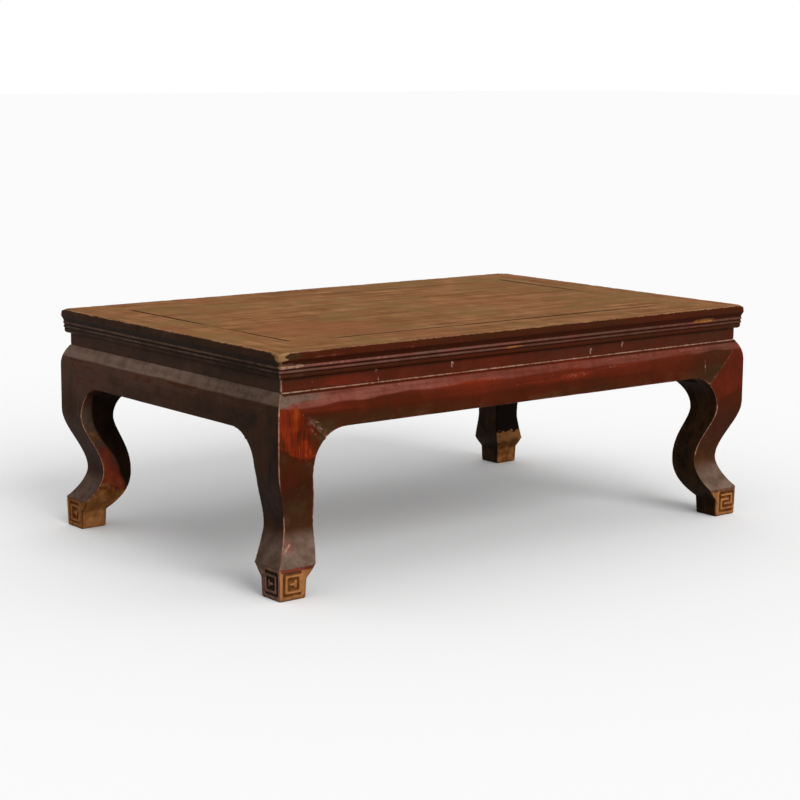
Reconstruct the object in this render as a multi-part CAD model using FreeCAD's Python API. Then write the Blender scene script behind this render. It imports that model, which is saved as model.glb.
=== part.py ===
import FreeCAD, Part
import math
import os
import re

from FreeCAD import Vector

# Kang table: a low table with a mitred top frame, a floating panel, a recessed waist,
# shouldered aprons and four S-shaped legs on carved block feet.
# Millimetres. X runs along the length, Y along the depth, Z up.
# The origin is on the floor under the middle of the table.
# An inset is a distance in from the outer edge of the top frame.

# Overall sizes
top_length = 940.0
top_depth = 603.0
table_height = 352.0

# Fits
joint_gap = 0.2
cut_overrun = 5.0

# Top frame
rail_width = 83.0
rail_thickness = 38.0
edge_overhang = 11.5

# The moulded edge of the top frame, from the top face down to the lower lip.
# Each point is (share of the overhang, share of the rail's thickness).
# A step of one point is a straight run and a step of two is an arc through the first.
edge_start_share = (0.19, 0.0)
edge_steps_share = [
    ((0.088, 0.0133), (0.05, 0.04)),
    ((0.02, 0.18),),
    ((0.0, 0.235), (0.08, 0.32)),
    ((0.2, 0.395), (0.26, 0.47)),
    ((0.3, 0.485),),
    ((0.22, 0.553), (0.3, 0.62)),
    ((0.38, 0.64),),
    ((0.32, 0.66),),
    ((0.25, 0.72), (0.33, 0.775)),
    ((0.41, 0.79),),
    ((0.36, 0.805),),
    ((0.36, 0.895),),
    ((0.5, 0.97), (0.8, 1.0)),
]

# Corner tenons of the long rails, in mortises in the short rails, and their pins
rail_tenon_thickness = 10.0
rail_tenon_drop = 13.0
rail_tenon_width = 26.0
rail_tenon_inset = 38.0
rail_tenon_end_inset = 18.0
pin_diameter = 5.0
pin_length = 30.0
pin_inset = 26.5
pin_gap = 0.3

# Panel of boards, held by tongues in grooves in the rails
board_count = 3
panel_thickness = 14.0
panel_gap = 1.0
tongue_thickness = 5.0
tongue_drop = 6.0
tongue_length = 8.0
groove_depth = 10.0

# Battens under the panel
batten_count = 3
batten_spacing = 235.0
batten_width = 36.0
batten_depth = 22.0
batten_dovetail_height = 5.5
batten_dovetail_neck = 24.0
batten_dovetail_tip = 30.0
batten_tenon_width = 16.0
batten_tenon_height = 14.0
batten_tenon_drop = 4.0
batten_tenon_length = 15.0

# Waist, and the tongues that hold it
waist_height = 18.5
backing_inset = 25.0
waist_tongue_thickness = 5.0
waist_tongue_height = 4.0
waist_tongue_inset = 16.0

# Aprons: the shoulder swells out to stand a little outside the top frame
apron_swell = 1.0
shoulder_height = 32.5
long_apron_height = 56.0
short_apron_height = 60.5
bracket_radius = 57.0

# Hanging dovetails on the posts, in slots in the backs of the aprons
key_inset = 50.0
key_neck = 10.0
key_tip = 14.0
key_depth = 7.0
key_drop = 5.0
key_height = 32.0

# Legs: the outer line runs down the face, in at the ankle and out to the foot,
# and the inner line runs down from the neck, in at the heel and out to the foot
mitre_drop = 2.5
knee_height = 192.0
ankle_height = 97.0
ankle_inset = 28.0
neck_inset = 60.0
heel_height = 94.0
heel_inset = 79.5
foot_height = 47.5
foot_inset = 3.0
foot_width = 47.0
foot_batter = 1.0
foot_inner_height = 28.5
foot_edge_round = 2.5

# Tangents of the leg's curves, each as (share of the curve's width, share of its height)
ankle_curve_share = ((0.0, 0.3), (0.52, 0.75))
knee_curve_share = ((0.0, 0.333), (1.0, 0.667))
neck_curve_share = ((0.0, 0.234), (1.0, 0.52))
heel_curve_share = ((0.0, 0.366), (0.254, 0.672))

# Tenons on top of each leg's post: a long one for the long rail and a short one for the short
leg_tenon_thickness = 14.0
leg_tenon_width = 22.0
leg_tenon_near_inset = 32.0
leg_tenon_far_inset = 50.0
long_tenon_height = 24.0
short_tenon_height = 13.0

# Carving on the two outer faces of each foot: a groove under the lip, and a square fret
lip_groove_drop = 2.0
lip_groove_height = 2.0
lip_groove_depth = 1.5
fret_drop = 7.0
fret_height = 34.5
fret_margin = 5.5
fret_width = 36.0
fret_depth = 2.0

# Each fret drawn in cells, with # for a ridge. The rows run down from the top, and the
# columns run in from the outer corner of the foot.
# The left feet have a square ring round a short bar, with an upright beside it.
ring_fret = [
    "#........",
    "#.#######",
    "#.#.....#",
    "#.#...#.#",
    "#.#.###.#",
    "#.#...#.#",
    "#.#.....#",
    "#.#######",
    "#........",
]
# The right feet have two hooks that reach round each other.
hook_fret = [
    ".........",
    ".#######.",
    ".#.......",
    ".#.#####.",
    ".#.....#.",
    ".#####.#.",
    ".......#.",
    "########.",
    ".........",
]

# Worked out from the sizes above
half_length = top_length / 2
half_depth = top_depth / 2
frame_bottom = table_height - rail_thickness
apron_top = frame_bottom - waist_height
long_apron_bottom = apron_top - long_apron_height
short_apron_bottom = apron_top - short_apron_height
shoulder_foot = apron_top - shoulder_height
mitre_height = apron_top - mitre_drop + edge_overhang
panel_bottom = table_height - panel_thickness
tongue_top = table_height - tongue_drop
tongue_bottom = tongue_top - tongue_thickness
rail_tenon_top = table_height - rail_tenon_drop
rail_tenon_bottom = rail_tenon_top - rail_tenon_thickness

CORNERS = {
    "front_left": (-1, -1),
    "front_right": (1, -1),
    "back_left": (-1, 1),
    "back_right": (1, 1),
}


def block(x_span, y_span, z_span):
    """A box between two values on each axis, given in either order."""
    low = Vector(min(x_span), min(y_span), min(z_span))
    high = Vector(max(x_span), max(y_span), max(z_span))
    size = high - low
    return Part.makeBox(size.x, size.y, size.z, low)


def corner_block(corner, u_span, v_span, z_span):
    """A box at a corner: u is the inset from the short side and v from the long side."""
    side_x, side_y = CORNERS[corner]
    x_span = [side_x * (half_length - u) for u in u_span]
    y_span = [side_y * (half_depth - v) for v in v_span]
    return block(x_span, y_span, z_span)


def outline(start, steps, place):
    """A face in the plane that place() gives, from runs, arcs and curves."""
    edges = []
    here = start
    for step in steps:
        points = [place(*point) for point in (here,) + tuple(step)]
        if len(points) == 2:
            edges.append(Part.LineSegment(*points).toShape())
        elif len(points) == 3:
            edges.append(Part.Arc(*points).toShape())
        else:
            curve = Part.BezierCurve()
            curve.setPoles(points)
            edges.append(curve.toShape())
        here = step[-1]
    if here != start:
        edges.append(Part.LineSegment(place(*here), place(*start)).toShape())
    return Part.Face(Part.Wire(edges))


def polygon(points, place):
    """A face with straight sides."""
    steps = [(point,) for point in points[1:]]
    return outline(points[0], steps, place)


def shoulder_arc():
    """The step of an outline that runs down the shoulder, from the waist to the face."""
    run = edge_overhang + apron_swell
    radius = (run ** 2 + shoulder_height ** 2) / (2 * run)
    half_angle = math.asin(shoulder_height / radius) / 2
    middle = (
        radius * (1 - math.cos(half_angle)) - apron_swell,
        shoulder_foot + radius * math.sin(half_angle),
    )
    return (middle, (-apron_swell, shoulder_foot))


def plan_wedge(half_run, half_across, reach):
    """The part of the plan that belongs to the front side, between its two mitres."""
    outer = cut_overrun
    corners = [
        (-half_run - outer, -half_across - outer),
        (half_run + outer, -half_across - outer),
        (half_run - reach, -half_across + reach),
        (-half_run + reach, -half_across + reach),
    ]
    face = polygon(corners, lambda x, y: Vector(x, y, -cut_overrun))
    return face.extrude(Vector(0, 0, table_height + 2 * cut_overrun))


def mitred_bar(start, steps, half_run, half_across, reach):
    """A front bar whose outline is given in (inset, height), mitred at both ends."""
    end = half_run + cut_overrun
    face = outline(start, steps, lambda inset, z: Vector(-end, -half_across + inset, z))
    bar = face.extrude(Vector(2 * end, 0, 0))
    return bar.common(plan_wedge(half_run, half_across, reach))


def band(inset_span, z_span, half_run, half_across):
    """A mitred bar with a plain rectangular section."""
    low, high = inset_span
    bottom, top = z_span
    steps = [((high, bottom),), ((high, top),), ((low, top),)]
    return mitred_bar((low, bottom), steps, half_run, half_across, high + cut_overrun)


def turned_left(shape):
    """Turn a front piece made with swapped half sizes so that it lies on the left."""
    copy = shape.copy()
    copy.rotate(Vector(0, 0, 0), Vector(0, 0, 1), -90)
    return copy


def turned_round(shape):
    """Turn a front piece to the back, or a left piece to the right."""
    copy = shape.copy()
    copy.rotate(Vector(0, 0, 0), Vector(0, 0, 1), 180)
    return copy


def edge_point(point_share):
    """A point of the moulded edge in (inset, height)."""
    inset_share, drop_share = point_share
    return (inset_share * edge_overhang, table_height - drop_share * rail_thickness)


def plain_rail(half_run, half_across):
    """A rail with its moulded edge, the panel groove and the waist groove."""
    steps = [tuple(edge_point(point) for point in step) for step in edge_steps_share]
    steps.append(((rail_width, frame_bottom),))
    steps.append(((rail_width, table_height),))
    rail = mitred_bar(edge_point(edge_start_share), steps, half_run, half_across, rail_width)
    panel_groove = band(
        (rail_width - groove_depth, rail_width + cut_overrun),
        (tongue_bottom, tongue_top + joint_gap),
        half_run,
        half_across,
    )
    return rail.cut(panel_groove).cut(waist_groove(frame_bottom, 1, half_run, half_across))


def waist_groove(face_height, direction, half_run, half_across):
    """The groove for a tongue of the waist, in the face at this height."""
    inset_span = (waist_tongue_inset - joint_gap, waist_tongue_inset + waist_tongue_thickness + joint_gap)
    deep = face_height + direction * (waist_tongue_height + joint_gap)
    mouth = face_height - direction * cut_overrun
    return band(inset_span, (min(deep, mouth), max(deep, mouth)), half_run, half_across)


def leg_tenon(corner, long_one, gap):
    """One tenon of a leg, or with a gap its mortise."""
    near = (leg_tenon_near_inset - gap, leg_tenon_near_inset + leg_tenon_thickness + gap)
    far = (leg_tenon_far_inset - gap, leg_tenon_far_inset + leg_tenon_width + gap)
    if long_one:
        return corner_block(corner, far, near, (frame_bottom, frame_bottom + long_tenon_height + gap))
    return corner_block(corner, near, far, (frame_bottom, frame_bottom + short_tenon_height + gap))


def rail_tenon(corner, gap):
    """The tenon on the end of a long rail, or with a gap its mortise."""
    v_span = (rail_tenon_inset - gap, rail_tenon_inset + rail_tenon_width + gap)
    z_span = (rail_tenon_bottom - gap, rail_tenon_top + gap)
    return corner_block(corner, (rail_tenon_end_inset - gap, rail_width), v_span, z_span)


def corner_pin(corner, gap):
    """The pin through a corner tenon, driven in from below, or with a gap its hole."""
    side_x, side_y = CORNERS[corner]
    middle = rail_tenon_inset + rail_tenon_width / 2
    foot = Vector(side_x * (half_length - pin_inset), side_y * (half_depth - middle), frame_bottom)
    return Part.makeCylinder(pin_diameter / 2 + gap, pin_length + gap, foot)


def batten_places():
    """The middle of each batten along the length."""
    first = -batten_spacing * (batten_count - 1) / 2
    return [first + batten_spacing * number for number in range(batten_count)]


def batten_dovetail(middle, gap):
    """The dovetail along the top of a batten, or with a gap its slot in the boards."""
    half_neck = batten_dovetail_neck / 2 + gap
    half_tip = batten_dovetail_tip / 2 + gap
    top = panel_bottom + batten_dovetail_height + gap
    reach = half_depth - rail_width
    corners = [
        (middle - half_neck, panel_bottom),
        (middle + half_neck, panel_bottom),
        (middle + half_tip, top),
        (middle - half_tip, top),
    ]
    length = reach
    if gap:
        length = reach + tongue_length + cut_overrun
    face = polygon(corners, lambda x, z: Vector(x, -length, z))
    return face.extrude(Vector(0, 2 * length, 0))


def batten_tenons(middle, gap):
    """The two end tenons of a batten, or with a gap their mortises."""
    reach = half_depth - rail_width
    top = panel_bottom - batten_tenon_drop
    half_width = batten_tenon_width / 2
    return block(
        (middle - half_width - gap, middle + half_width + gap),
        (-reach - batten_tenon_length - gap, reach + batten_tenon_length + gap),
        (top - batten_tenon_height - gap, top + gap),
    )


def batten(middle):
    """A batten across the underside of the panel."""
    reach = half_depth - rail_width
    half_width = batten_width / 2
    body = block(
        (middle - half_width, middle + half_width),
        (-reach, reach),
        (panel_bottom - batten_depth, panel_bottom),
    )
    return body.fuse([batten_dovetail(middle, 0), batten_tenons(middle, 0)]).removeSplitter()


def long_rail():
    """The front rail: a tenon at each end, and mortises for its legs and the battens."""
    ends = ("front_left", "front_right")
    rail = plain_rail(half_length, half_depth)
    rail = rail.fuse([rail_tenon(corner, 0) for corner in ends]).removeSplitter()
    for corner in ends:
        rail = rail.cut(leg_tenon(corner, True, joint_gap))
        rail = rail.cut(corner_pin(corner, pin_gap))
    for middle in batten_places():
        rail = rail.cut(batten_tenons(middle, joint_gap))
    return rail


def short_rail():
    """The left rail: mortises for the long rails' tenons and for its legs, and the pin holes."""
    rail = turned_left(plain_rail(half_depth, half_length))
    for corner in ("front_left", "back_left"):
        rail = rail.cut(rail_tenon(corner, joint_gap))
        rail = rail.cut(leg_tenon(corner, False, joint_gap))
        rail = rail.cut(corner_pin(corner, pin_gap))
    return rail


def panel_board(number):
    """One board of the panel, counted from the front, with its tongues."""
    opening_x = half_length - rail_width - panel_gap
    opening_y = half_depth - rail_width - panel_gap
    width = 2 * opening_y / board_count
    low = -opening_y + number * width
    high = low + width
    reach = panel_gap + tongue_length
    tongue_low = low
    tongue_high = high
    if number == 0:
        tongue_low = low - reach
    if number == board_count - 1:
        tongue_high = high + reach
    board = block((-opening_x, opening_x), (low, high), (panel_bottom, table_height))
    tongue = block(
        (-opening_x - reach, opening_x + reach),
        (tongue_low, tongue_high),
        (tongue_bottom, tongue_top),
    )
    board = board.fuse(tongue).removeSplitter()
    for middle in batten_places():
        board = board.cut(batten_dovetail(middle, joint_gap))
    return board


def waist(half_run, half_across):
    """A waist strip with a tongue above and below."""
    tongue_span = (waist_tongue_inset, waist_tongue_inset + waist_tongue_thickness)
    strip = band((edge_overhang, backing_inset), (apron_top, frame_bottom), half_run, half_across)
    tongues = band(
        tongue_span,
        (apron_top - waist_tongue_height, frame_bottom + waist_tongue_height),
        half_run,
        half_across,
    )
    return strip.fuse(tongues).removeSplitter()


def mitre_toe(bottom):
    """Where the leg's mitre meets the bracket curve under an apron, as (inset, height)."""
    centre_inset = neck_inset + bracket_radius
    rise = mitre_height - (bottom - bracket_radius)
    total = centre_inset + rise
    root = math.sqrt(total ** 2 - 2 * (centre_inset ** 2 + rise ** 2 - bracket_radius ** 2))
    inset = (total - root) / 2
    return (inset, mitre_height - inset)


def bracket_point(bottom, inset):
    """The point of the bracket curve at this inset."""
    offset = neck_inset + bracket_radius - inset
    return (inset, bottom - bracket_radius + math.sqrt(bracket_radius ** 2 - offset ** 2))


def apron_front_view(bottom, half_run, half_across):
    """The apron as seen square on, as a slab: brackets, lower edge and mitred ends."""
    toe = mitre_toe(bottom)
    foot = (neck_inset + bracket_radius, bottom)
    via = bracket_point(bottom, (toe[0] + foot[0]) / 2)
    tip = (mitre_height - apron_top, apron_top)

    def left(point):
        return (point[0] - half_run, point[1])

    def right(point):
        return (half_run - point[0], point[1])

    steps = [
        (left(via), left(foot)),
        (right(foot),),
        (right(via), right(toe)),
        (right(tip),),
        (left(tip),),
    ]
    outer = -half_across - cut_overrun
    face = outline(left(toe), steps, lambda x, z: Vector(x, outer, z))
    return face.extrude(Vector(0, cut_overrun + backing_inset, 0))


def apron(bottom, half_run, half_across):
    """An apron: its section along the length, its outline, the waist groove and the key slots."""
    low = mitre_toe(bottom)[1] - cut_overrun
    steps = [
        shoulder_arc(),
        ((-apron_swell, low),),
        ((backing_inset, low),),
        ((backing_inset, apron_top),),
    ]
    bar = mitred_bar((edge_overhang, apron_top), steps, half_run, half_across, backing_inset)
    body = bar.common(apron_front_view(bottom, half_run, half_across))
    body = body.cut(waist_groove(apron_top, -1, half_run, half_across))
    slot_top = apron_top - key_drop + joint_gap
    for side in (-1, 1):
        middle = side * (half_run - key_inset)
        body = body.cut(hanging_key(middle, half_across, (low, slot_top), joint_gap))
    return body.removeSplitter()


def hanging_key(middle, half_across, z_span, gap):
    """A dovetail that stands on the front of a post, or with a gap its slot."""
    root = -half_across + backing_inset
    tip = root - key_depth - gap
    bottom, top = z_span
    corners = [
        (middle - key_neck / 2 - gap, root),
        (middle - key_tip / 2 - gap, tip),
        (middle + key_tip / 2 + gap, tip),
        (middle + key_neck / 2 + gap, root),
    ]
    face = polygon(corners, lambda x, y: Vector(x, y, bottom))
    return face.extrude(Vector(0, 0, top - bottom))


def bend(start, end, curve_share):
    """A curved step from start to end, with its tangents as shares of its width and height."""
    width = end[0] - start[0]
    height = end[1] - start[1]
    poles = [(start[0] + width * a, start[1] + height * b) for a, b in curve_share]
    return (poles[0], poles[1], end)


def backwards(start, end, curve_share):
    """The same curve run the other way, from end to start."""
    first, second, _ = bend(start, end, curve_share)
    return (second, first, start)


def leg_outline(bottom, place):
    """The leg seen square on, over an apron with this lower edge, in (inset, height)."""
    toe = mitre_toe(bottom)
    neck = (neck_inset, bottom - bracket_radius)
    via = bracket_point(bottom, (toe[0] + neck[0]) / 2)
    heel = (heel_inset, heel_height)
    ankle = (ankle_inset, ankle_height)
    knee = (-apron_swell, knee_height)
    lip = (foot_inset, foot_height)
    sole_outer = foot_inset + foot_batter
    sole_inner = foot_inset + foot_width - foot_batter
    foot_inner = (foot_inset + foot_width, foot_inner_height)
    shoulder_middle = shoulder_arc()[0]
    round_share = 1 - math.sqrt(0.5)
    steps = [
        (
            (sole_outer + foot_edge_round * round_share, foot_edge_round * round_share),
            (sole_outer, foot_edge_round),
        ),
        (lip,),
        backwards(ankle, lip, ankle_curve_share),
        backwards(knee, ankle, knee_curve_share),
        ((-apron_swell, shoulder_foot),),
        (shoulder_middle, (edge_overhang, apron_top)),
        ((edge_overhang, frame_bottom),),
        ((toe[0], frame_bottom),),
        (toe,),
        (via, neck),
        bend(neck, heel, neck_curve_share),
        bend(heel, foot_inner, heel_curve_share),
        ((sole_inner, foot_edge_round),),
        (
            (sole_inner - foot_edge_round * round_share, foot_edge_round * round_share),
            (sole_inner - foot_edge_round, 0),
        ),
    ]
    return outline((sole_outer + foot_edge_round, 0), steps, place)


def mitre_notch(half_run, half_across):
    """What the front apron and waist take away from the front left leg."""
    far = rail_width + cut_overrun
    near = -2 * cut_overrun
    top = mitre_height + rail_thickness
    corners = [(near, mitre_height - near), (far, mitre_height - far), (far, top), (near, top)]
    outer = -half_across - cut_overrun
    face = polygon(corners, lambda inset, z: Vector(-half_run + inset, outer, z))
    return face.extrude(Vector(0, cut_overrun + backing_inset, 0))


def fret_ridges(fret, left, top, y_span):
    """The ridges of a fret, one block for each run of ridge along a row of its drawing."""
    column = fret_width / len(fret[0])
    row = fret_height / len(fret)
    ridges = []
    for number, line in enumerate(fret):
        z_span = (top - number * row, top - (number + 1) * row)
        for run in re.finditer("#+", line):
            x_span = (left + run.start() * column, left + run.end() * column)
            ridges.append(block(x_span, y_span, z_span))
    return ridges[0].fuse(ridges[1:])


def foot_carving(fret, half_run, half_across):
    """What the carving takes away from the front face of the front left foot."""
    face_y = -half_across + foot_inset
    outer = face_y - cut_overrun
    floor = face_y + foot_batter + fret_depth
    left = -half_run + fret_margin
    top = foot_height - fret_drop
    field = block((left, left + fret_width), (outer, floor), (top - fret_height, top))
    lip_top = foot_height - lip_groove_drop
    lip_groove = block(
        (-half_run, -half_run + heel_inset),
        (outer, face_y + lip_groove_depth),
        (lip_top - lip_groove_height, lip_top),
    )
    return field.cut(fret_ridges(fret, left, top, (outer, floor))).fuse(lip_groove)


def front_left_leg(fret):
    """The leg, its post with two tenons and two hanging dovetails, and its carved foot."""
    reach = rail_width + cut_overrun
    front_view = leg_outline(long_apron_bottom, lambda u, z: Vector(u - half_length, -half_depth, z))
    side_view = leg_outline(short_apron_bottom, lambda v, z: Vector(-half_length, v - half_depth, z))
    front_view.translate(Vector(0, -cut_overrun, 0))
    side_view.translate(Vector(-cut_overrun, 0, 0))
    across = front_view.extrude(Vector(0, reach + cut_overrun, 0))
    along = side_view.extrude(Vector(reach + cut_overrun, 0, 0))
    leg = across.common(along)
    leg = leg.cut(mitre_notch(half_length, half_depth))
    leg = leg.cut(turned_corner(mitre_notch(half_depth, half_length)))
    leg = leg.cut(foot_carving(fret, half_length, half_depth))
    leg = leg.cut(turned_corner(foot_carving(fret, half_depth, half_length)))
    key_top = apron_top - key_drop
    z_span = (key_top - key_height, key_top)
    front_key = hanging_key(-half_length + key_inset, half_depth, z_span, 0)
    side_key = turned_corner(hanging_key(-half_depth + key_inset, half_length, z_span, 0))
    tenons = [leg_tenon("front_left", True, 0), leg_tenon("front_left", False, 0)]
    return leg.fuse([front_key, side_key] + tenons).removeSplitter()


def turned_corner(shape):
    """Swap the two sides of a corner, so that what is made for the front serves the left."""
    return shape.mirror(Vector(0, 0, 0), Vector(1, -1, 0))


def mirrored_leg(leg, corner):
    """The front left leg reflected to another corner."""
    side_x, side_y = CORNERS[corner]
    if side_x > 0:
        leg = leg.mirror(Vector(0, 0, 0), Vector(1, 0, 0))
    if side_y > 0:
        leg = leg.mirror(Vector(0, 0, 0), Vector(0, 1, 0))
    return leg


def save(name, shape):
    """Write one sub-part as it stands in the table."""
    print(name, "solids", len(shape.Solids), "valid", shape.isValid(), "volume", round(shape.Volume))
    shape.exportStep("parts/" + name + ".step")


os.makedirs("parts", exist_ok=True)

front_rail = long_rail()
save("top_rail_front", front_rail)
save("top_rail_back", turned_round(front_rail))
left_rail = short_rail()
save("top_rail_left", left_rail)
save("top_rail_right", turned_round(left_rail))

for board_number in range(board_count):
    save("panel_board_%d" % (board_number + 1), panel_board(board_number))

for batten_number, batten_middle in enumerate(batten_places()):
    save("underside_batten_%d" % (batten_number + 1), batten(batten_middle))

front_waist = waist(half_length, half_depth)
save("waist_front", front_waist)
save("waist_back", turned_round(front_waist))
left_waist = turned_left(waist(half_depth, half_length))
save("waist_left", left_waist)
save("waist_right", turned_round(left_waist))

front_apron = apron(long_apron_bottom, half_length, half_depth)
save("apron_front", front_apron)
save("apron_back", turned_round(front_apron))
left_apron = turned_left(apron(short_apron_bottom, half_depth, half_length))
save("apron_left", left_apron)
save("apron_right", turned_round(left_apron))

ring_leg = front_left_leg(ring_fret)
hook_leg = front_left_leg(hook_fret)
for corner_name, (side_x, side_y) in CORNERS.items():
    carved = ring_leg if side_x < 0 else hook_leg
    save("leg_" + corner_name, mirrored_leg(carved, corner_name))

pins = [corner_pin(corner_name, 0) for corner_name in CORNERS]
save("corner_pins", Part.makeCompound(pins))
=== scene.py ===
import itertools
import math

import bmesh
import bpy
import numpy as np
from mathutils import Matrix, Vector
from mathutils.bvhtree import BVHTree
from mathutils.kdtree import KDTree


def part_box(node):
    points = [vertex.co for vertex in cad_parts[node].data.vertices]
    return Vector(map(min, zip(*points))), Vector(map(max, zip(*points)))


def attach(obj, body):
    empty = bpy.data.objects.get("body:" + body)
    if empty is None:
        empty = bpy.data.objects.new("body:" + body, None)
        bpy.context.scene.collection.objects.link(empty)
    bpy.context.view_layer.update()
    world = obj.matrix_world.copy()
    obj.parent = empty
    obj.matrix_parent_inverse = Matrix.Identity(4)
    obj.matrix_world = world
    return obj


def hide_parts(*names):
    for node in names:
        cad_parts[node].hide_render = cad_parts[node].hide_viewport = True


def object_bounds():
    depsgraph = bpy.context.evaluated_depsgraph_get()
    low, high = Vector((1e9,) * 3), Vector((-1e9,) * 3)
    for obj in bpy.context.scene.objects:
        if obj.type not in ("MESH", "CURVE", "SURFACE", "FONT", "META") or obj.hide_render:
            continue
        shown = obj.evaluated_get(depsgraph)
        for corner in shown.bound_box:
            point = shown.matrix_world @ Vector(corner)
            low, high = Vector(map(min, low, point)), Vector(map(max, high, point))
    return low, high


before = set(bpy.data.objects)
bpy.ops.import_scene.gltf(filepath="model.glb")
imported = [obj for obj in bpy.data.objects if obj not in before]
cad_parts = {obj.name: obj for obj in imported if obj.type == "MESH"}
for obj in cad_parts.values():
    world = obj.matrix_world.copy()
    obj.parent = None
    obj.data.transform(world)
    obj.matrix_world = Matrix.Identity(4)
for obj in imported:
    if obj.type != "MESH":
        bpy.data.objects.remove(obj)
cad_low, cad_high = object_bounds()

# The kang table's looks: softened and worn wood under old lacquer.
# Metres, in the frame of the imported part: X along the length, Y from front to back, Z up.
# An inset is a distance in from the outer edge of the top frame, a drop one down from a piece's top.

# Sizes read from the frame
rail_low, rail_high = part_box("top_rail_front")
half_length = rail_high.x
half_depth = -rail_low.y
rail_width = rail_high.y - rail_low.y
table_top = rail_high.z
rail_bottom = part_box("waist_left")[1].z
apron_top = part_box("apron_front")[1].z
panel_half_length = half_length - rail_width
panel_half_depth = half_depth - rail_width

# The photograph's camera
camera_place = (-2.0336, -2.5189, 0.7557)
camera_yaw = math.radians(51.309)
camera_pitch = math.radians(-9.763)
camera_roll = math.radians(0.453)
camera_lens = 90.47
camera_sensor = 36.0

# Stage and light
floor_half_side = 30.0
floor_seen = 0.97
floor_bounce = 0.2
world_light = 0.7
sun_from = (-0.1, -2.0, 1.2)
sun_softness = math.radians(40)
sun_light = 1.8

# Softness and unevenness of the shapes
weld_reach = 1e-6
section_place = 0.1
section_step = 0.00035
corner_softness = 0.0006
edge_spread = 0.0010
edge_turn = 260.0
loop_allowance = 0.00003
loop_longest = 0.009
turn_weight = 0.002
rail_step = 0.003
waist_step = 0.0025
mitre_steps = (0.0, 0.0004, 0.0009, 0.0014, 0.002, 0.0027, 0.0035, 0.0045)
corner_round = 0.0042
corner_round_fade = 0.009
waist_corner_round = 0.0018
leg_voxel = 0.00115
apron_voxel = 0.0015
softening_passes = 3
stand_out_passes = 3
stand_out_full = 0.09
joint_reach = 0.0024
arris_turn = math.radians(35)
arris_step = 0.00025
corner_drop = 0.0026
corner_drop_reach = 0.014
surface_unevenness = 0.00035
unevenness_spacing = 0.03
sole_flat = 0.0008
sole_band = (0.008, 0.012)
sole_round = 0.003
sole_round_height = 0.02
bevel_turn = math.radians(40)
batten_bevel = 0.0012
board_bevel = 0.0003
board_cell = 0.012
panel_gap = 0.001

# Gloss of the old lacquer and of the worn top, and of bare wood
lacquer_gloss = 0.02
bare_gloss = 0.2

# The moulded edge of the top: how strongly it is rubbed on each side at each of these drops, with a painted
# highlight along the nose's widest rounding
rail_drops = (0.0, 0.003, 0.006, 0.009, 0.013, 0.0175, 0.0185, 0.038)
rail_rubs_and_highlights = {
    "front": (0.5, 0.2, 0.3, 0.62, 0.2, 0.3, 0.0, 0.0),
    "back": (0.7, 0.25, 0.3, 0.45, 0.2, 0.3, 0.0, 0.0),
    "left": (0.5, 0.2, 0.2, 0.3, 0.15, 0.2, 0.0, 0.0),
    "right": (0.8, 0.25, 0.3, 0.55, 0.2, 0.3, 0.0, 0.0),
}

# Its two beads, each as (drop, half its width), and how strongly each is rubbed and lit by a painted
# highlight
beads = ((0.021, 0.0014), (0.0274, 0.001))
bead_rubs_and_highlights = {"front": (0.5, 0.38), "back": (0.62, 0.5), "left": (0.44, 0.4), "right": (0.7, 0.55)}

# Redness, rubbing and dusting of each side, the dusting of the apron shoulders with a painted sheen
rail_reds = {"front": 0.45, "back": 0.4, "left": 0.13, "right": 0.46}
rail_dusts = {"front": 0.03, "back": 0.1, "left": 0.0, "right": 0.05}
waist_reds = {"front": 0.6, "back": 0.45, "left": 0.15, "right": 0.58}
apron_reds = {"front": 0.6, "back": 0.44, "left": 0.17, "right": 0.6}
apron_rubs = {"front": 0.6, "back": 0.45, "left": 0.15, "right": 0.5}
shoulder_dusts = {"front": 0.9, "back": 0.8, "left": 1.05, "right": 0.75}

# How much redder the aprons are than their mean, as (place along the side, difference)
front_reds = ((-0.45, -0.02), (0.0, 0.03), (0.2, 0.07), (0.33, 0.06), (0.4, -0.06))
left_reds = ((-0.3, -0.11), (-0.1, -0.05), (0.05, 0.03), (0.2, 0.08), (0.28, 0.1))

# Worn spots of the top frame: mask, strength, X, Y, drop, size, seed, raggedness
frame_spots = (
    ("tan", 1.1, -half_length, -half_depth, 0.0015, (0.02, 0.02, 0.0085), 21, 0.5),
    ("tan", 1.1, -half_length, half_depth, 0.0015, (0.008, 0.008, 0.003), 26, 0.5),
    ("tan", 1.1, half_length, -half_depth, 0.0015, (0.008, 0.008, 0.003), 27, 0.5),
    ("tan", 1.1, half_length, half_depth, 0.0015, (0.01, 0.01, 0.004), 28, 0.5),
    ("tan", 1.0, -half_length, -half_depth, 0.011, (0.006, 0.006, 0.014), 30, 0.4),
    ("tan", 1.0, -half_length, -half_depth, 0.022, (0.007, 0.007, 0.0045), 29, 0.6),
    ("bare", 0.8, 0.376, -half_depth, 0.02, (0.024, 0.01, 0.0045), 22, 0.5),
    ("bare", 0.6, -0.04, -half_depth, 0.0265, (0.022, 0.01, 0.0025), 23, 0.5),
    ("scuff", 0.75, -0.445, -half_depth, 0.02, (0.024, 0.02, 0.004), 24, 0.6),
)

# Pale flecks on the waist, as (place along, height), and their size
waist_flecks = (
    (-0.405, 0.304), (-0.292, 0.309), (-0.288, 0.302), (-0.151, 0.308), (0.199, 0.31), (0.13, 0.303),
)
fleck_size = (0.002, 0.004, 0.0045)

# Marks seen from the front, with their ends as (X, height): a haze, and fine scratches
without_y = (1, 0, 1)
bracket_haze = ((-0.418, 0.25), (-0.398, 0.235))
bracket_scratches = (
    ((-0.4175, 0.2525), (-0.409, 0.2465)),
    ((-0.412, 0.247), (-0.398, 0.235)),
    ((-0.4085, 0.251), (-0.4, 0.25)),
    ((-0.405, 0.2445), (-0.3965, 0.2395)),
    ((-0.4155, 0.242), (-0.4075, 0.233)),
)
apron_scratches = (((0.3769, 0.2818), (0.3787, 0.2454)), ((0.369, 0.2825), (0.377, 0.2815)))

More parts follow.
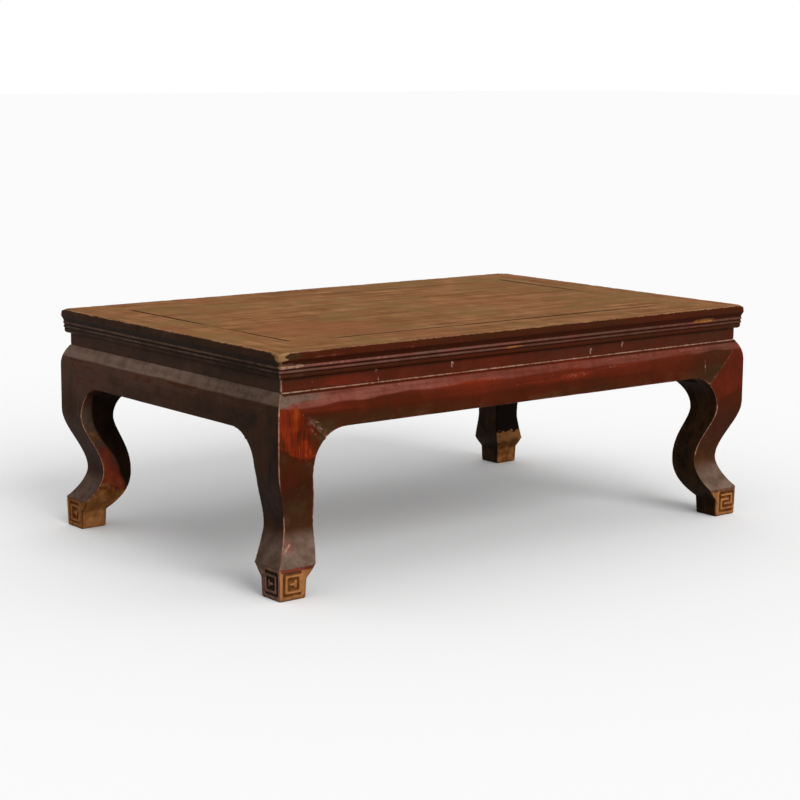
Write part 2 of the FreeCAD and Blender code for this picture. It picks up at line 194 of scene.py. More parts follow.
# Carved feet: bare gilt wood on the faces to the short and the long sides, and how rubbed it is
foot_top = 0.0475
foot_face_inset = 0.003
foot_batter = 0.001
foot_far_side = 0.049
foot_gilt_x = {(-1, -1): 0.0, (-1, 1): 0.62, (1, -1): 0.9, (1, 1): 0.9}
foot_gilt_y = {-1: 1.0, 1: 0.9}
foot_rub = {(-1, -1): 1.05, (-1, 1): 0.9, (1, -1): 1.3, (1, 1): 1.0}

# The back left leg's front face: width and looks of the strip of painted light beside its outer arris, going
# up
strip_level = 0.002
lit_strip_widths = (
    (0.0, 0.06), (0.06, 0.06), (0.075, 0.045), (0.09, 0.031), (0.11, 0.0265), (0.14, 0.021),
    (0.187, 0.022), (0.218, 0.0145), (0.26, 0.012),
)
lit_strip_heights = (0.0, 0.05, 0.07, 0.085, 0.1, 0.12, 0.135, 0.152, 0.168, 0.19, 0.213, 0.235, 0.26)
lit_strip_looks = {
    "red": (0.4, 0.4, 0.5, 0.85, 1.0, 0.85, 0.5, 0.33, 0.27, 0.26, 0.5, 0.38, 0.36),
    "olive": (0.3, 0.3, 0.3, 0.2, 0.15, 0.3, 0.5, 0.55, 0.6, 0.6, 0.35, 0.4, 0.4),
    "bare": (0.9, 0.85, 0.62, 0.52, 0.42, 0.28, 0.32, 0.5, 0.4, 0.2, 0.3, 0.62, 0.65),
    "dust": (0.1, 0.1, 0.15, 0.2, 0.25, 0.3, 0.42, 0.25, 0.38, 0.45, 0.3, 0.15, 0.1),
    "scuff": (0.0, 0.0, 0.15, 0.3, 0.34, 0.3, 0.2, 0.1, 0.15, 0.15, 0.2, 0.1, 0.1),
    "edge": (0.6, 0.5, 0.25, 0.1, 0.2, 0.15, 0.1, 0.1, 0.1, 0.1, 0.1, 0.3, 0.3),
}

# How rubbed the arris of the front left leg is, as (height, strength)
near_arris = (
    (0.0, 1.1), (0.046, 1.1), (0.055, 0.3), (0.063, 0.6), (0.07, 1.0), (0.112, 0.95),
    (0.12, 0.1), (0.15, 0.2), (0.168, 0.7), (0.178, 1.2), (0.29, 1.25),
)

# Scratches on that leg, as (strength, ends, width)
near_scratches = (
    (0.9, ((-0.447, 0.067), (-0.4365, 0.0755)), 0.0022),
    (0.75, ((-0.449, 0.2885), (-0.441, 0.2815)), 0.0025),
)

# How red and how rubbed the outer faces of the legs are, to the short and the long sides
leg_reds_x = {
    "front_left": ((0.09, 0.13), (0.12, 0.06), (0.16, 0.06), (0.2, 0.13)),
    "front_right": ((0.0, 0.55),),
    "back_left": ((0.1, 0.13), (0.2, 0.17), (0.24, 0.3)),
    "back_right": ((0.0, 0.55),),
}
leg_reds_y = {-1: 0.42, 1: 0.4}
leg_rubs_x = {-1: 0.5, 1: 0.9}
leg_rubs_y = {-1: 0.9, 1: 0.75}

# The orange patch on the front left leg, as (place along, value): its lower and upper end and its redness
patch_bottom = ((-0.455, 0.216), (-0.445, 0.206), (-0.43, 0.201))
patch_top = ((-0.46, 0.276), (-0.447, 0.279), (-0.442, 0.287), (-0.43, 0.284))
patch_red = ((-0.46, 0.86), (-0.44, 0.83), (-0.43, 0.77), (-0.415, 0.69), (-0.4, 0.6))

# How strongly the line round the panel shows, as (place along the side, strength)
seams = {
    "front": ((-0.32, 0.0), (-0.3, 0.6), (0.19, 1.05), (0.22, 0.7), (0.33, 0.6), (0.37, 0.0)),
    "back": ((-0.36, 0.2), (-0.1, 0.1), (0.05, 0.8), (0.25, 0.7), (0.33, 0.0)),
    "left": (
        (-0.213, 0.0), (-0.204, 0.75), (-0.1, 0.6), (-0.08, 0.15), (0.0, 0.2), (0.035, 1.0),
        (0.225, 1.0), (0.232, 0.3),
    ),
    "right": ((-0.2, 0.1), (-0.06, 0.3), (0.0, 1.1), (0.05, 1.5), (0.21, 1.7), (0.226, 0.3)),
}

# Colours, in linear light, and ramps of (place, colour)
wood_ramp = (
    (0.38, (0.135, 0.052, 0.015)),
    (0.47, (0.2, 0.083, 0.026)),
    (0.53, (0.26, 0.113, 0.042)),
    (0.62, (0.35, 0.167, 0.073)),
)
wood_green = (0.19, 0.105, 0.034)
wood_red = (0.24, 0.078, 0.03)
wood_scratch = (0.085, 0.036, 0.014)
wood_pore = (0.06, 0.028, 0.012)
wood_rim = (0.4, 0.235, 0.11)
seam_dark = (0.03, 0.011, 0.003)
lacquer_ramp = (
    (0.0, (0.009, 0.004, 0.0015)),
    (0.1, (0.032, 0.0125, 0.005)),
    (0.17, (0.042, 0.0155, 0.006)),
    (0.25, (0.062, 0.030, 0.018)),
    (0.31, (0.08, 0.029, 0.0145)),
    (0.38, (0.047, 0.0135, 0.0035)),
    (0.46, (0.054, 0.0105, 0.0022)),
    (0.58, (0.074, 0.0105, 0.0024)),
    (0.69, (0.104, 0.0135, 0.004)),
    (0.8, (0.148, 0.0165, 0.004)),
    (0.9, (0.21, 0.022, 0.004)),
    (1.0, (0.28, 0.041, 0.005)),
)
olive_dark, olive_light = (0.038, 0.018, 0.005), (0.072, 0.038, 0.012)
hair_dark = (0.022, 0.009, 0.005)
# Dusting colours, which also give the painted sheen on the shoulders, the flare and the front beads
dust_grey, dust_pink = (0.187, 0.122, 0.09), (0.235, 0.072, 0.052)
# Rubbed colours, which also give the painted highlights along the nose and the beads
rub_grey, rub_pink = (0.1, 0.056, 0.038), (0.2, 0.058, 0.042)
worn_dark, worn_light = (0.33, 0.135, 0.085), (0.52, 0.27, 0.18)
gold_ramp = (
    (0.36, (0.11, 0.034, 0.006)),
    (0.5, (0.235, 0.082, 0.018)),
    (0.63, (0.38, 0.16, 0.048)),
)
gold_ridge = (0.46, 0.198, 0.076)
# Darker gilt, for grimy grooves and painted shade alike
gold_shade_and_dirt = (0.085, 0.027, 0.006)
scuff_dark, scuff_light = (0.25, 0.11, 0.07), (0.46, 0.28, 0.19)
# Colours of the darkening mask over lacquer, for grimy hollows and painted shade alike
shade_and_dirt_black, shade_and_dirt_red = (0.006, 0.0028, 0.001), (0.026, 0.0035, 0.0008)
fleck_pale = (0.3, 0.17, 0.11)
softwood_ramp = (
    (0.3, (0.1, 0.05, 0.025)),
    (0.6, (0.22, 0.12, 0.06)),
    (0.8, (0.3, 0.18, 0.1)),
)
softwood_stain = (0.08, 0.045, 0.025)

mask_names = ("edge", "hollow", "red", "olive", "dust", "bare", "scuff", "tan", "top")
sides = {"front": (0, -1), "back": (0, 1), "left": (-1, 0), "right": (1, 0)}
corners = {"front_left": (-1, -1), "front_right": (1, -1), "back_left": (-1, 1), "back_right": (1, 1)}


# Noise for arrays of points


def lattice_values(cells, seed):
    """A steady value from 0 to 1 for each cell of a lattice of whole numbers."""
    mixed = (cells[:, 0] * 73856093) ^ (cells[:, 1] * 19349663) ^ (cells[:, 2] * 83492791)
    mixed = (mixed + seed * 2654435761) & 0x7FFFFFFF
    mixed = ((mixed ^ (mixed >> 13)) * 1274126177) & 0x7FFFFFFF
    mixed = ((mixed ^ (mixed >> 15)) * 2246822519) & 0x7FFFFFFF
    return ((mixed ^ (mixed >> 16)) & 0xFFFF) / 65535.0


def noise_at(points, spacing, seed):
    """Smooth noise from 0 to 1 with one random value at each spacing, a length or three."""
    scaled = points / np.asarray(spacing)
    base = np.floor(scaled)
    part = scaled - base
    part = part * part * (3 - 2 * part)
    base = base.astype(np.int64)
    total = np.zeros(len(points))
    for corner in itertools.product((0, 1), repeat=3):
        weight = np.prod(np.where(corner, part, 1 - part), axis=1)
        total += weight * lattice_values(base + np.array(corner), seed)
    return total


def swing(points, spacing, seed):
    """The same noise about its middle, from -0.5 to 0.5."""
    return noise_at(points, spacing, seed) - 0.5


def rise(values, low, high):
    """From 0 at low to 1 at high, with soft ends."""
    share = np.clip((values - low) / (high - low), 0, 1)
    return share * share * (3 - 2 * share)


def hump(values, low, high, soft):
    """1 between low and high, falling to 0 over a soft border outside them."""
    return rise(values, low - soft, low) * (1 - rise(values, high, high + soft))


def between(values, table):
    """Values read off a table of (place, value)."""
    return np.interp(values, *zip(*table))


# Meshes


def new_piece(name, data):
    """An object in the scene."""
    piece = bpy.data.objects.new(name, data)
    bpy.context.scene.collection.objects.link(piece)
    return piece


def read(items, name, width=1, kind=float):
    """A value, or a row of values, for each vertex, edge, corner or face of a mesh."""
    found = np.empty(len(items) * width, kind)
    items.foreach_get(name, found)
    return found if width == 1 else found.reshape(-1, width)


def points_of(mesh, name="co"):
    """The places or normals of a mesh's vertices."""
    return read(mesh.vertices, name, 3)


def edges_of(mesh):
    """The two vertices of each edge."""
    return read(mesh.edges, "vertices", 2, np.int64)


def move_points(mesh, points):
    """Set a mesh's vertices, kept inside the box of the frame."""
    kept = np.clip(points, np.array(cad_low), np.array(cad_high))
    mesh.vertices.foreach_set("co", kept.ravel())
    mesh.update()


def set_values(mesh, name, values):
    """A number for each vertex, which the materials read."""
    mesh.attributes.new(name, "FLOAT", "POINT").data.foreach_set("value", values.astype(np.float32))


def set_grain(mesh, points, along):
    """Coordinates for the grain: first along the wood's length, then across it."""
    order = {"x": (0, 1, 2), "y": (1, 0, 2), "z": (2, 0, 1)}[along]
    placed = mesh.attributes.new("grain", "FLOAT_VECTOR", "POINT")
    placed.data.foreach_set("vector", points[:, order].astype(np.float32).ravel())


def opened(node):
    """A node's mesh to work on, with its doubled vertices joined."""
    work = bmesh.new()
    work.from_mesh(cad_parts[node].data)
    bmesh.ops.remove_doubles(work, verts=work.verts, dist=weld_reach)
    return work


def handed_back(work, mesh):
    """The mesh with what was worked on put into it."""
    work.to_mesh(mesh)
    work.free()
    return mesh


def cut_across(work, axis, place, cut_alone):
    """Cut square to an axis, and keep everything or the cut alone."""
    across = Vector((1 - axis, axis, 0))
    bmesh.ops.bisect_plane(
        work, geom=work.verts[:] + work.edges[:] + work.faces[:], plane_co=across * place,
        plane_no=across, clear_inner=cut_alone, clear_outer=cut_alone,
    )


def with_modifier(node, kind, **settings):
    """A node's mesh as one modifier leaves it."""
    mesh = handed_back(opened(node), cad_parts[node].data.copy())
    mesh.materials.clear()
    holder = new_piece("holder", mesh)
    modifier = holder.modifiers.new(kind, kind)
    for key, value in settings.items():
        setattr(modifier, key, value)
    graph = bpy.context.evaluated_depsgraph_get()
    made = bpy.data.meshes.new_from_object(holder.evaluated_get(graph), depsgraph=graph)
    bpy.data.objects.remove(holder)
    made.name = node
    return made


def bevelled(node, width, segments):
    """A node's mesh with bevelled edges."""
    return with_modifier(
        node, "BEVEL", width=width, segments=segments, limit_method="ANGLE", angle_limit=bevel_turn,
    )


def smooth(mesh):
    """Smooth shading on every face."""
    mesh.polygons.foreach_set("use_smooth", np.ones(len(mesh.polygons), bool))


def smooth_edges_only(mesh):
    """Flat shading on faces that lie square to an axis, smooth on the rest."""
    square = np.abs(read(mesh.polygons, "normal", 3)).max(axis=1) > 0.999
    mesh.polygons.foreach_set("use_smooth", ~square)


# Mitred bars, swept along the sides from the outline of the front one


def section_of(node):
    """The outline of a front node across its length, as (inset, height) points in order."""
    work = opened(node)
    cut_across(work, 0, section_place, True)
    bmesh.ops.remove_doubles(work, verts=work.verts, dist=weld_reach)
    here = work.verts[:][0]
    last = None
    loop = []
    while True:
        loop.append((here.co.y + half_depth, here.co.z))
        ahead = [edge.other_vert(here) for edge in here.link_edges]
        step = ahead[0] if ahead[0] is not last else ahead[1]
        last = here
        here = step
        if (here.co.y + half_depth, here.co.z) == loop[0]:
            break
    work.free()
    loop = np.array(loop)
    following = np.roll(loop, -1, axis=0)
    area = (loop[:, 0] * following[:, 1] - loop[:, 1] * following[:, 0]).sum()
    return loop if area > 0 else loop[::-1]


def blurred(values, spread):
    """Values round a closed loop, blurred over a spread counted in steps."""
    reach = int(4 * spread) + 1
    offsets = np.arange(-reach, reach + 1)
    weights = np.exp(-0.5 * (offsets / spread) ** 2)
    weights /= weights.sum()
    return sum(weight * np.roll(values, -offset, axis=0) for weight, offset in zip(weights, offsets))


def thinned(rows):
    """Which rows of a closed loop to keep, so that straight runs between them stay close to it."""
    kept = [0]
    for end in range(2, len(rows)):
        start = kept[-1]
        run = rows[end] - rows[start]
        between_them = rows[start + 1:end] - rows[start]
        shares = np.clip(between_them @ run / max(run @ run, 1e-18), 0, 1)
        away = np.linalg.norm(between_them - shares[:, None] * run, axis=1).max()
        if away > loop_allowance or np.linalg.norm(run) > loop_longest:
            kept.append(end - 1)
    return kept


def soft_loop(loop):
    """An outline with softened corners: its points, and how sharply it turns at each."""
    whole = np.vstack([loop, loop[:1]])
    lengths = np.concatenate([[0], np.cumsum(np.linalg.norm(np.diff(whole, axis=0), axis=1))])
    count = int(lengths[-1] / section_step)
    places = np.arange(count) * lengths[-1] / count
    points = np.stack([np.interp(places, lengths, whole[:, axis]) for axis in (0, 1)], axis=1)
    points = blurred(points, corner_softness / section_step)
    ahead = np.roll(points, -1, axis=0) - np.roll(points, 1, axis=0)
    ahead /= np.linalg.norm(ahead, axis=1)[:, None]
    angle = np.arctan2(ahead[:, 1], ahead[:, 0])
    turn = (np.roll(angle, -1) - np.roll(angle, 1) + math.pi) % (2 * math.pi) - math.pi
    turn = blurred(turn / (2 * section_step), edge_spread / section_step) / edge_turn
    kept = thinned(np.column_stack([points, turn * turn_weight]))
    return points[kept], turn[kept]


def turned(points, side):
    """Points made for the front side, turned to another side."""
    x, y, z = points.T
    places = {"front": (x, y, z), "left": (y, -x, z), "back": (-x, -y, z), "right": (-y, x, z)}
    return np.stack(places[side], axis=1)


def swept(name, side, outline, step, rounding):
    """A mitred bar with this outline along one side, its outer corners rounded off in plan.

    Gives the mesh, how sharply the outline turns at each vertex, and its distance from the mitre.
    """
    loop, turn = outline
    half_run, half_across = half_length, half_depth
    if side in ("left", "right"):
        half_run, half_across = half_depth, half_length
    inset, height = loop.T
    from_end = np.concatenate([mitre_steps, np.arange(mitre_steps[-1] + step, half_run, step)])
    beyond = from_end[:, None] * (half_run - inset) / half_run
    radius = rounding * np.exp((inset.min() - inset) / corner_round_fade)
    angle = np.clip(1 - beyond / radius, 0, 1) * math.pi / 4
    moved = np.where(angle > 0, radius * (1 - np.sin(angle)), beyond)
    insets = inset + radius * (1 - np.cos(angle))
    along = half_run - inset - moved
    along = np.concatenate([-along, along[::-1]])
    insets = np.concatenate([insets, insets[::-1]])
    beyond = np.concatenate([beyond, beyond[::-1]])
    heights = np.broadcast_to(height, along.shape)
    points = np.stack([along, insets - half_across, heights], axis=2).reshape(-1, 3)
    count, around = along.shape
    ends = np.arange(count * around).reshape(count, around)
    beside = np.roll(ends, -1, axis=1)
    faces = np.stack([ends[:-1], beside[:-1], beside[1:], ends[1:]], axis=2).reshape(-1, 4)
    faces = faces.tolist() + [ends[0][::-1].tolist(), ends[-1].tolist()]
    mesh = bpy.data.meshes.new(name)
    mesh.from_pydata(turned(points, side).tolist(), [], faces)
    mesh.update()
    smooth(mesh)
    return mesh, np.tile(turn, count), beyond.ravel()


# Carved pieces: softened all over, but crisp where they meet


def neighbour_means(values, edges):
    """For each vertex, the mean of a value over the vertices that it shares an edge with."""
    count = len(values)
    ends = np.concatenate([edges[:, 0], edges[:, 1]])
    others = np.concatenate([edges[:, 1], edges[:, 0]])
    touching = np.maximum(np.bincount(ends, minlength=count), 1)
    columns = values.reshape(count, -1)
    sums = [np.bincount(ends, weights=column[others], minlength=count) for column in columns.T]
    return (np.stack(sums, axis=1) / touching[:, None]).reshape(values.shape)


def remeshed(node, voxel):
    """An even, softened mesh of a node, with how far each vertex stands out of its surroundings."""
    mesh = with_modifier(node, "REMESH", mode="VOXEL", voxel_size=voxel)
    edges = edges_of(mesh)
    points = points_of(mesh)
    for _ in range(softening_passes):
        points = 0.5 * points + 0.5 * neighbour_means(points, edges)
    move_points(mesh, points)
    normals = points_of(mesh, "normal")
    stand_out = ((points - neighbour_means(points, edges)) * normals).sum(axis=1) / voxel
    for _ in range(stand_out_passes):
        stand_out = 0.4 * stand_out + 0.6 * neighbour_means(stand_out, edges)
    return mesh, stand_out / stand_out_full


def tree_of(node):
    """For finding the nearest point of a node's surface."""
    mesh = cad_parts[node].data
    places = [vertex.co for vertex in mesh.vertices]
    return BVHTree.FromPolygons(places, [face.vertices for face in mesh.polygons])


def distances(points, nodes, reach):
    """How far each point is from the nearest of the nodes, up to the reach."""
    away = np.full(len(points), reach)
    for node in nodes:
        low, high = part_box(node)
        inside = (points > np.array(low) - reach) & (points < np.array(high) + reach)
        tree = tree_of(node)
        for number in np.flatnonzero(inside.all(axis=1)):
            distance = tree.find_nearest(points[number].tolist(), reach)[3]
            if distance is not None:
                away[number] = min(away[number], distance)
    return away


def arris_points(node):
    """Points close together along a node's sharp edges."""
    work = opened(node)
    found = []
    for edge in work.edges:
        if edge.calc_face_angle(0.0) > arris_turn:
            start, end = [np.array(vertex.co) for vertex in edge.verts]
            count = int(np.linalg.norm(end - start) / arris_step) + 2
            found.append(start + np.linspace(0, 1, count)[:, None] * (end - start))
    work.free()
    return np.concatenate(found)


def snapped(points, node, weights, voxel):
    """Points drawn back to a node's own surface and arrises, by a weight for each."""
    tree = tree_of(node)
    arris = arris_points(node)
    lookup = KDTree(len(arris))
    for number, place in enumerate(arris):
        lookup.insert(place, number)
    lookup.balance()
    placed = points.copy()
    for number in np.flatnonzero(weights > 0.01):
        nearest = tree.find_nearest(points[number].tolist())[0]
        if weights[number] > 0.5:
            place, _, distance = lookup.find(points[number])
            nearest = place if distance < 0.8 * voxel else nearest
        placed[number] += weights[number] * (np.array(nearest) - placed[number])
    return placed


def crease(mesh, weights):
    """Keep the shading sharp along the arrises where two pieces meet."""
    loop_edges = read(mesh.loops, "edge_index", kind=np.int64)
    totals = read(mesh.polygons, "loop_total", kind=np.int64)
    normals = read(mesh.polygons, "normal", 3)
    faces = np.repeat(np.arange(len(totals)), totals)
    order = np.argsort(loop_edges, kind="stable")
    first, second = order[:-1], order[1:]
    paired = loop_edges[first] == loop_edges[second]
    first, second = first[paired], second[paired]
    cosine = (normals[faces[first]] * normals[faces[second]]).sum(axis=1)
    found = loop_edges[first[cosine < math.cos(arris_turn)]]
    found = found[weights[edges_of(mesh)[found]].min(axis=1) > 0.3]
    sharp = np.zeros(len(mesh.edges), bool)
    sharp[found] = True
    mesh.edges.foreach_set("use_edge_sharp", sharp)


def carved(node, voxel, neighbours):
    """A softened mesh of a node with crisp joints to its neighbours, and where its points go.

    Gives also how far each point stands out, how near a joint it is from 0 to 1, and its
    distance from the neighbours.
    """
    mesh, stand_out = remeshed(node, voxel)
    points = points_of(mesh)
    from_joint = distances(points, neighbours, joint_reach)
    joint = 1 - rise(from_joint, 0.5 * joint_reach, joint_reach)
    points = snapped(points, node, joint, voxel)
    move_points(mesh, points)
    sunk = surface_unevenness * noise_at(points, unevenness_spacing, 40) * (1 - joint)
    return mesh, points - points_of(mesh, "normal") * sunk[:, None], stand_out, joint, from_joint


def set_shape(mesh, points, joint):
    """Move a carved mesh's points, and shade it smooth but for its joints."""
    move_points(mesh, points)
    smooth(mesh)
    crease(mesh, joint)


def insets_of(points):
    """Insets from the short and the long sides of the top frame."""
    return half_length - np.abs(points[:, 0]), half_depth - np.abs(points[:, 1])


def with_round_sole(points, side_x, side_y):
    """A leg's points with a flat sole that is worn round at its corners and edges."""
    height = np.where(points[:, 2] < sole_flat, 0.0, points[:, 2])
    band = (height > sole_band[0]) & (height < sole_band[1])
    placed = np.stack([*insets_of(points), height], axis=1)
    radius = sole_round * (1 - 0.75 * rise(height, 0.5 * sole_round, sole_round_height))
    core = placed.copy()
    for axis in (0, 1):
        low, high = placed[band, axis].min(), placed[band, axis].max()
        core[:, axis] = np.clip(placed[:, axis], low + radius, high - radius)
    core[:, 2] = np.maximum(height, radius)
    away = placed - core
    reach = np.linalg.norm(away, axis=1)
    pulled = (reach > radius) & (height < sole_round_height)
    placed[pulled] = (core + away * (radius / np.maximum(reach, 1e-9))[:, None])[pulled]
    x, y = side_x * (half_length - placed[:, 0]), side_y * (half_depth - placed[:, 1])
    return np.stack([x, y, placed[:, 2]], axis=1)


# Wear: masks with a value at each point of a mesh


class Wear(dict):
    """The masks of one piece by name."""

    def lift(self, name, values):
        """Raise a mask to these values where it is lower."""
        self[name] = np.maximum(self[name], values)

    def fade(self, name, share):
        """Take a share of a mask away."""
        self[name] = self[name] * (1 - share)

    def blend(self, name, values, share):
        """Move a mask towards these values by a share."""
        self[name] = self[name] * (1 - share) + values * share

    def put(self, name, where, values):
        """Set a mask to these values in some places."""
        self[name] = np.where(where, values, self[name])


def spot(points, centre, size, seed, ragged=0.5):
    """A patch about a place, as large each way as size says, with a ragged border."""
    away = np.linalg.norm((points - centre) / size, axis=1)
    away += ragged * swing(points, np.array(size) * 0.6, seed) * 2
    return 1 - rise(away, 0.7, 1.15)


def line(points, ends, width, y=0.0):
    """A thin mark between two places, each as (X, height), at this Y."""
    start, end = [np.array((x, y, z)) for x, z in ends]
    run = end - start
    shares = np.clip((points - start) @ run / (run @ run), 0, 1)
    away = np.linalg.norm(points - start - shares[:, None] * run, axis=1)
    return 1 - rise(away, 0.35 * width, width)


def bracket_rub(points):
    """A pale haze and a few fine scratches, across the mitre over the front left bracket."""
    flat = points * without_y
    hazy = line(flat, bracket_haze, 0.012) * rise(noise_at(points, (0.006, 0.02, 0.005), 62), 0.2, 0.8)
    streaked = np.zeros(len(points))
    for ends in bracket_scratches:
        scratch = line(flat, ends, 0.0014) * (0.7 + 0.5 * noise_at(points, 0.003, 64))
        streaked = np.maximum(streaked, scratch)
    return hazy, streaked


def shoulder_dust(points, side):
    """A dusting and a painted sheen along the shoulder, on an apron and on the legs at its ends."""
    x, y, z = points.T
    along = x if side in ("front", "back") else y
    drop = apron_top - z
    waves = noise_at(points, (0.04, 0.04, 0.5), 70)
    streaks = noise_at(points, (0.07, 0.07, 0.003), 63)
    strength = shoulder_dusts[side] * (0.6 + 0.6 * streaks)
    start = 0.005
    end = 0.0145 + 0.003 * waves
    if side == "front":
        end = 0.0105 + 0.006 * waves + 0.006 * rise(-along, 0.1, 0.4)
        strength = strength * (1 - 0.45 * rise(along, -0.3, 0.0))
    if side == "left":
        start = 0.0
        strength = strength * (1 - 0.4 * rise(-along, -0.02, 0.18))
    border = 0.0015 + 0.003 * noise_at(points, (0.06, 0.06, 0.5), 71)
    return strength * rise(drop, start - 0.001, start + 0.001) * (1 - rise(drop, end, end + border))


def seam_strength(points):
    """How strongly the dark line round the panel shows near each point."""
    x, y, _ = points.T
    strengths = {side: between(x if side in ("front", "back") else y, seams[side]) for side in sides}
    at_ends = np.where(x < 0, strengths["left"], strengths["right"])
    at_sides = np.where(y < 0, strengths["front"], strengths["back"])
    return np.where(np.abs(x) - panel_half_length > np.abs(y) - panel_half_depth, at_ends, at_sides)


def foot_wear(points, masks, side_x, side_y):
    """The carved faces of a foot: rubbed ridges over dark grooves, gilt where the wood is bare."""
    short_inset, long_inset = insets_of(points)
    z = points[:, 2]
    foot = 1 - rise(z, foot_top - 0.003, foot_top)
    batter = foot_face_inset + foot_batter * (1 - z / foot_top)
    lip_covered, lip_red = (1, 1) if side_x < 0 else (0.6, 0.4)
    faces = (
        (long_inset, short_inset, foot_gilt_y[side_y]),
        (short_inset, long_inset, foot_gilt_x[side_x, side_y]),
    )
    for inset, other, gilt in faces:
        depth = inset - batter
        face = foot * (1 - rise(depth, 0.0024, 0.0034)) * (depth < other - batter + 0.0002)
        on_face = face > 0.5
        groove = rise(depth, 0.0005, 0.0016)
        # Darker near the sole, and painted shade towards the far side of the face
        shade_and_soil = 0.5 * (1 - rise(z, 0.002, 0.009))
        shade_and_soil = shade_and_soil + 0.45 * rise(other, foot_far_side - 0.006, foot_far_side)
        shade_and_soil = shade_and_soil * (0.5 + noise_at(points, 0.006, 90))
        rubbed = (1 - groove) * (0.4 + 0.6 * noise_at(points, 0.004, 92)) * foot_rub[side_x, side_y]
        at_arris = 1 - rise(other, foot_face_inset + 0.0035, foot_face_inset + 0.006)
        rubbed = np.maximum(rubbed, 1.3 * at_arris)
        masks.put("bare", on_face, gilt)
        masks.put("hollow", on_face, np.maximum(0.85 * groove, shade_and_soil * (gilt > 0)))
        masks.put("edge", on_face, np.maximum(rubbed, masks["edge"] * (1 - groove)))
        lip = hump(z, foot_top - 0.0055, foot_top - 0.0005, 0.001) * on_face
        if gilt == 1:
            lip = lip * (0.75 + 0.25 * noise_at(points, (0.012, 0.012, 0.002), 93))
            masks.fade("bare", lip * lip_covered)
            masks.blend("red", lip_red, lip)
            masks.fade("edge", 0.5 * lip)
            masks.blend("dust", 0.4, lip)
        elif gilt > 0:
            masks.lift("hollow", 0.55 * lip)
        else:
            masks.put("red", on_face, 0.18)
            masks.put("dust", on_face, 0.3)


def lit_strip_and_shadow(points, masks, from_arris, facing):
    """The back left leg's front face: painted light down a strip beside its outer arris, in gold, grey and
    red, and painted shadow on the rest above the heel.
    """
    z = points[:, 2]
    width = between(z, lit_strip_widths) + 0.004 * swing(points, 0.02, 86)
    strip = facing * (1 - rise(from_arris, width - 0.003, width + 0.002))
    level = z + 0.9 * from_arris * hump(z, 0.07, 0.11, 0.015)
    level = level + 0.02 * swing(points, (0.008, 0.008, 0.02), 91)
    for name, looks in lit_strip_looks.items():
        masks.blend(name, np.interp(level, lit_strip_heights, looks), strip)
    masks.fade("hollow", strip)
    # Painted shadow on the face beside the strip
    masks.lift("hollow", 0.75 * facing * (1 - strip) * rise(z, 0.06, 0.085))


def front_left_wear(points, masks, outer_y, at_corner):
    """The wear of the leg nearest to the eye in the photograph."""
    x, _, z = points.T
    flat = points * without_y
    ragged = 0.01 * swing(points, 0.012, 81) + 0.006 * swing(points, 0.004, 89)
    cracks = rise(noise_at(points, (0.002, 0.05, 0.014), 88), 0.72, 0.82)
    region = hump(z + ragged, between(x, patch_bottom), between(x, patch_top), 0.005)
    region = region * hump(x + ragged / 2, -0.49, -0.404, 0.006) * outer_y
    patch = between(x, patch_red) + 0.11 * swing(points, (0.003, 0.05, 0.025), 80)
    patch = patch + 0.28 * swing(points, (0.008, 0.05, 0.012), 87) - 0.22 * cracks
    bright = hump(x + 0.4 * ragged, -0.4455, -0.4385, 0.002) * hump(z + ragged, 0.238, 0.28, 0.006)
    tongue = hump(x + ragged, -0.434, -0.417, 0.004) * hump(z + ragged / 2, 0.206, 0.224, 0.005)
    masks.blend("red", patch + 0.09 * bright + 0.2 * tongue, region)
    masks.fade("olive", region)
    masks["olive"] += 0.45 * outer_y * spot(flat, (-0.398, 0, 0.225), (0.016, 1, 0.03), 82)
    masks.lift("red", 0.88 * outer_y * line(flat, ((-0.43, 0.2025), (-0.393, 0.205)), 0.003))
    masks.put("edge", at_corner, between(z, near_arris))
    masks.put("red", at_corner, np.maximum(masks["red"], 0.5))

    pinkish = np.hypot((x + 0.438) / 0.014, (z - 0.072) / 0.014) + 0.5 * swing(points, 0.006, 83)
    pinkish = (1 - rise(pinkish, 0.2, 1.2)) * outer_y
    masks["red"] = masks["red"] + 0.2 * pinkish
    hazy, streaked = bracket_rub(points)
    masks["dust"] = masks["dust"] + 0.15 * pinkish + 0.5 * hazy * outer_y
    masks.lift("scuff", 0.68 * streaked * outer_y)
    for strength, ends, width in near_scratches:
        masks.lift("scuff", strength * line(flat, ends, width) * outer_y)
    grey = np.hypot((x + 0.457) / 0.02, (z - 0.287) / 0.014) + 0.6 * swing(points, 0.008, 84)
    grey = (1 - rise(grey, 0.4, 1.1)) * outer_y
    masks.fade("dust", 0.9 * hump(x + ragged, -0.446, -0.42, 0.004) * hump(z, 0.2, 0.284, 0.003))
    masks.lift("dust", 0.95 * grey)
    masks.fade("red", 0.6 * grey)


# Materials


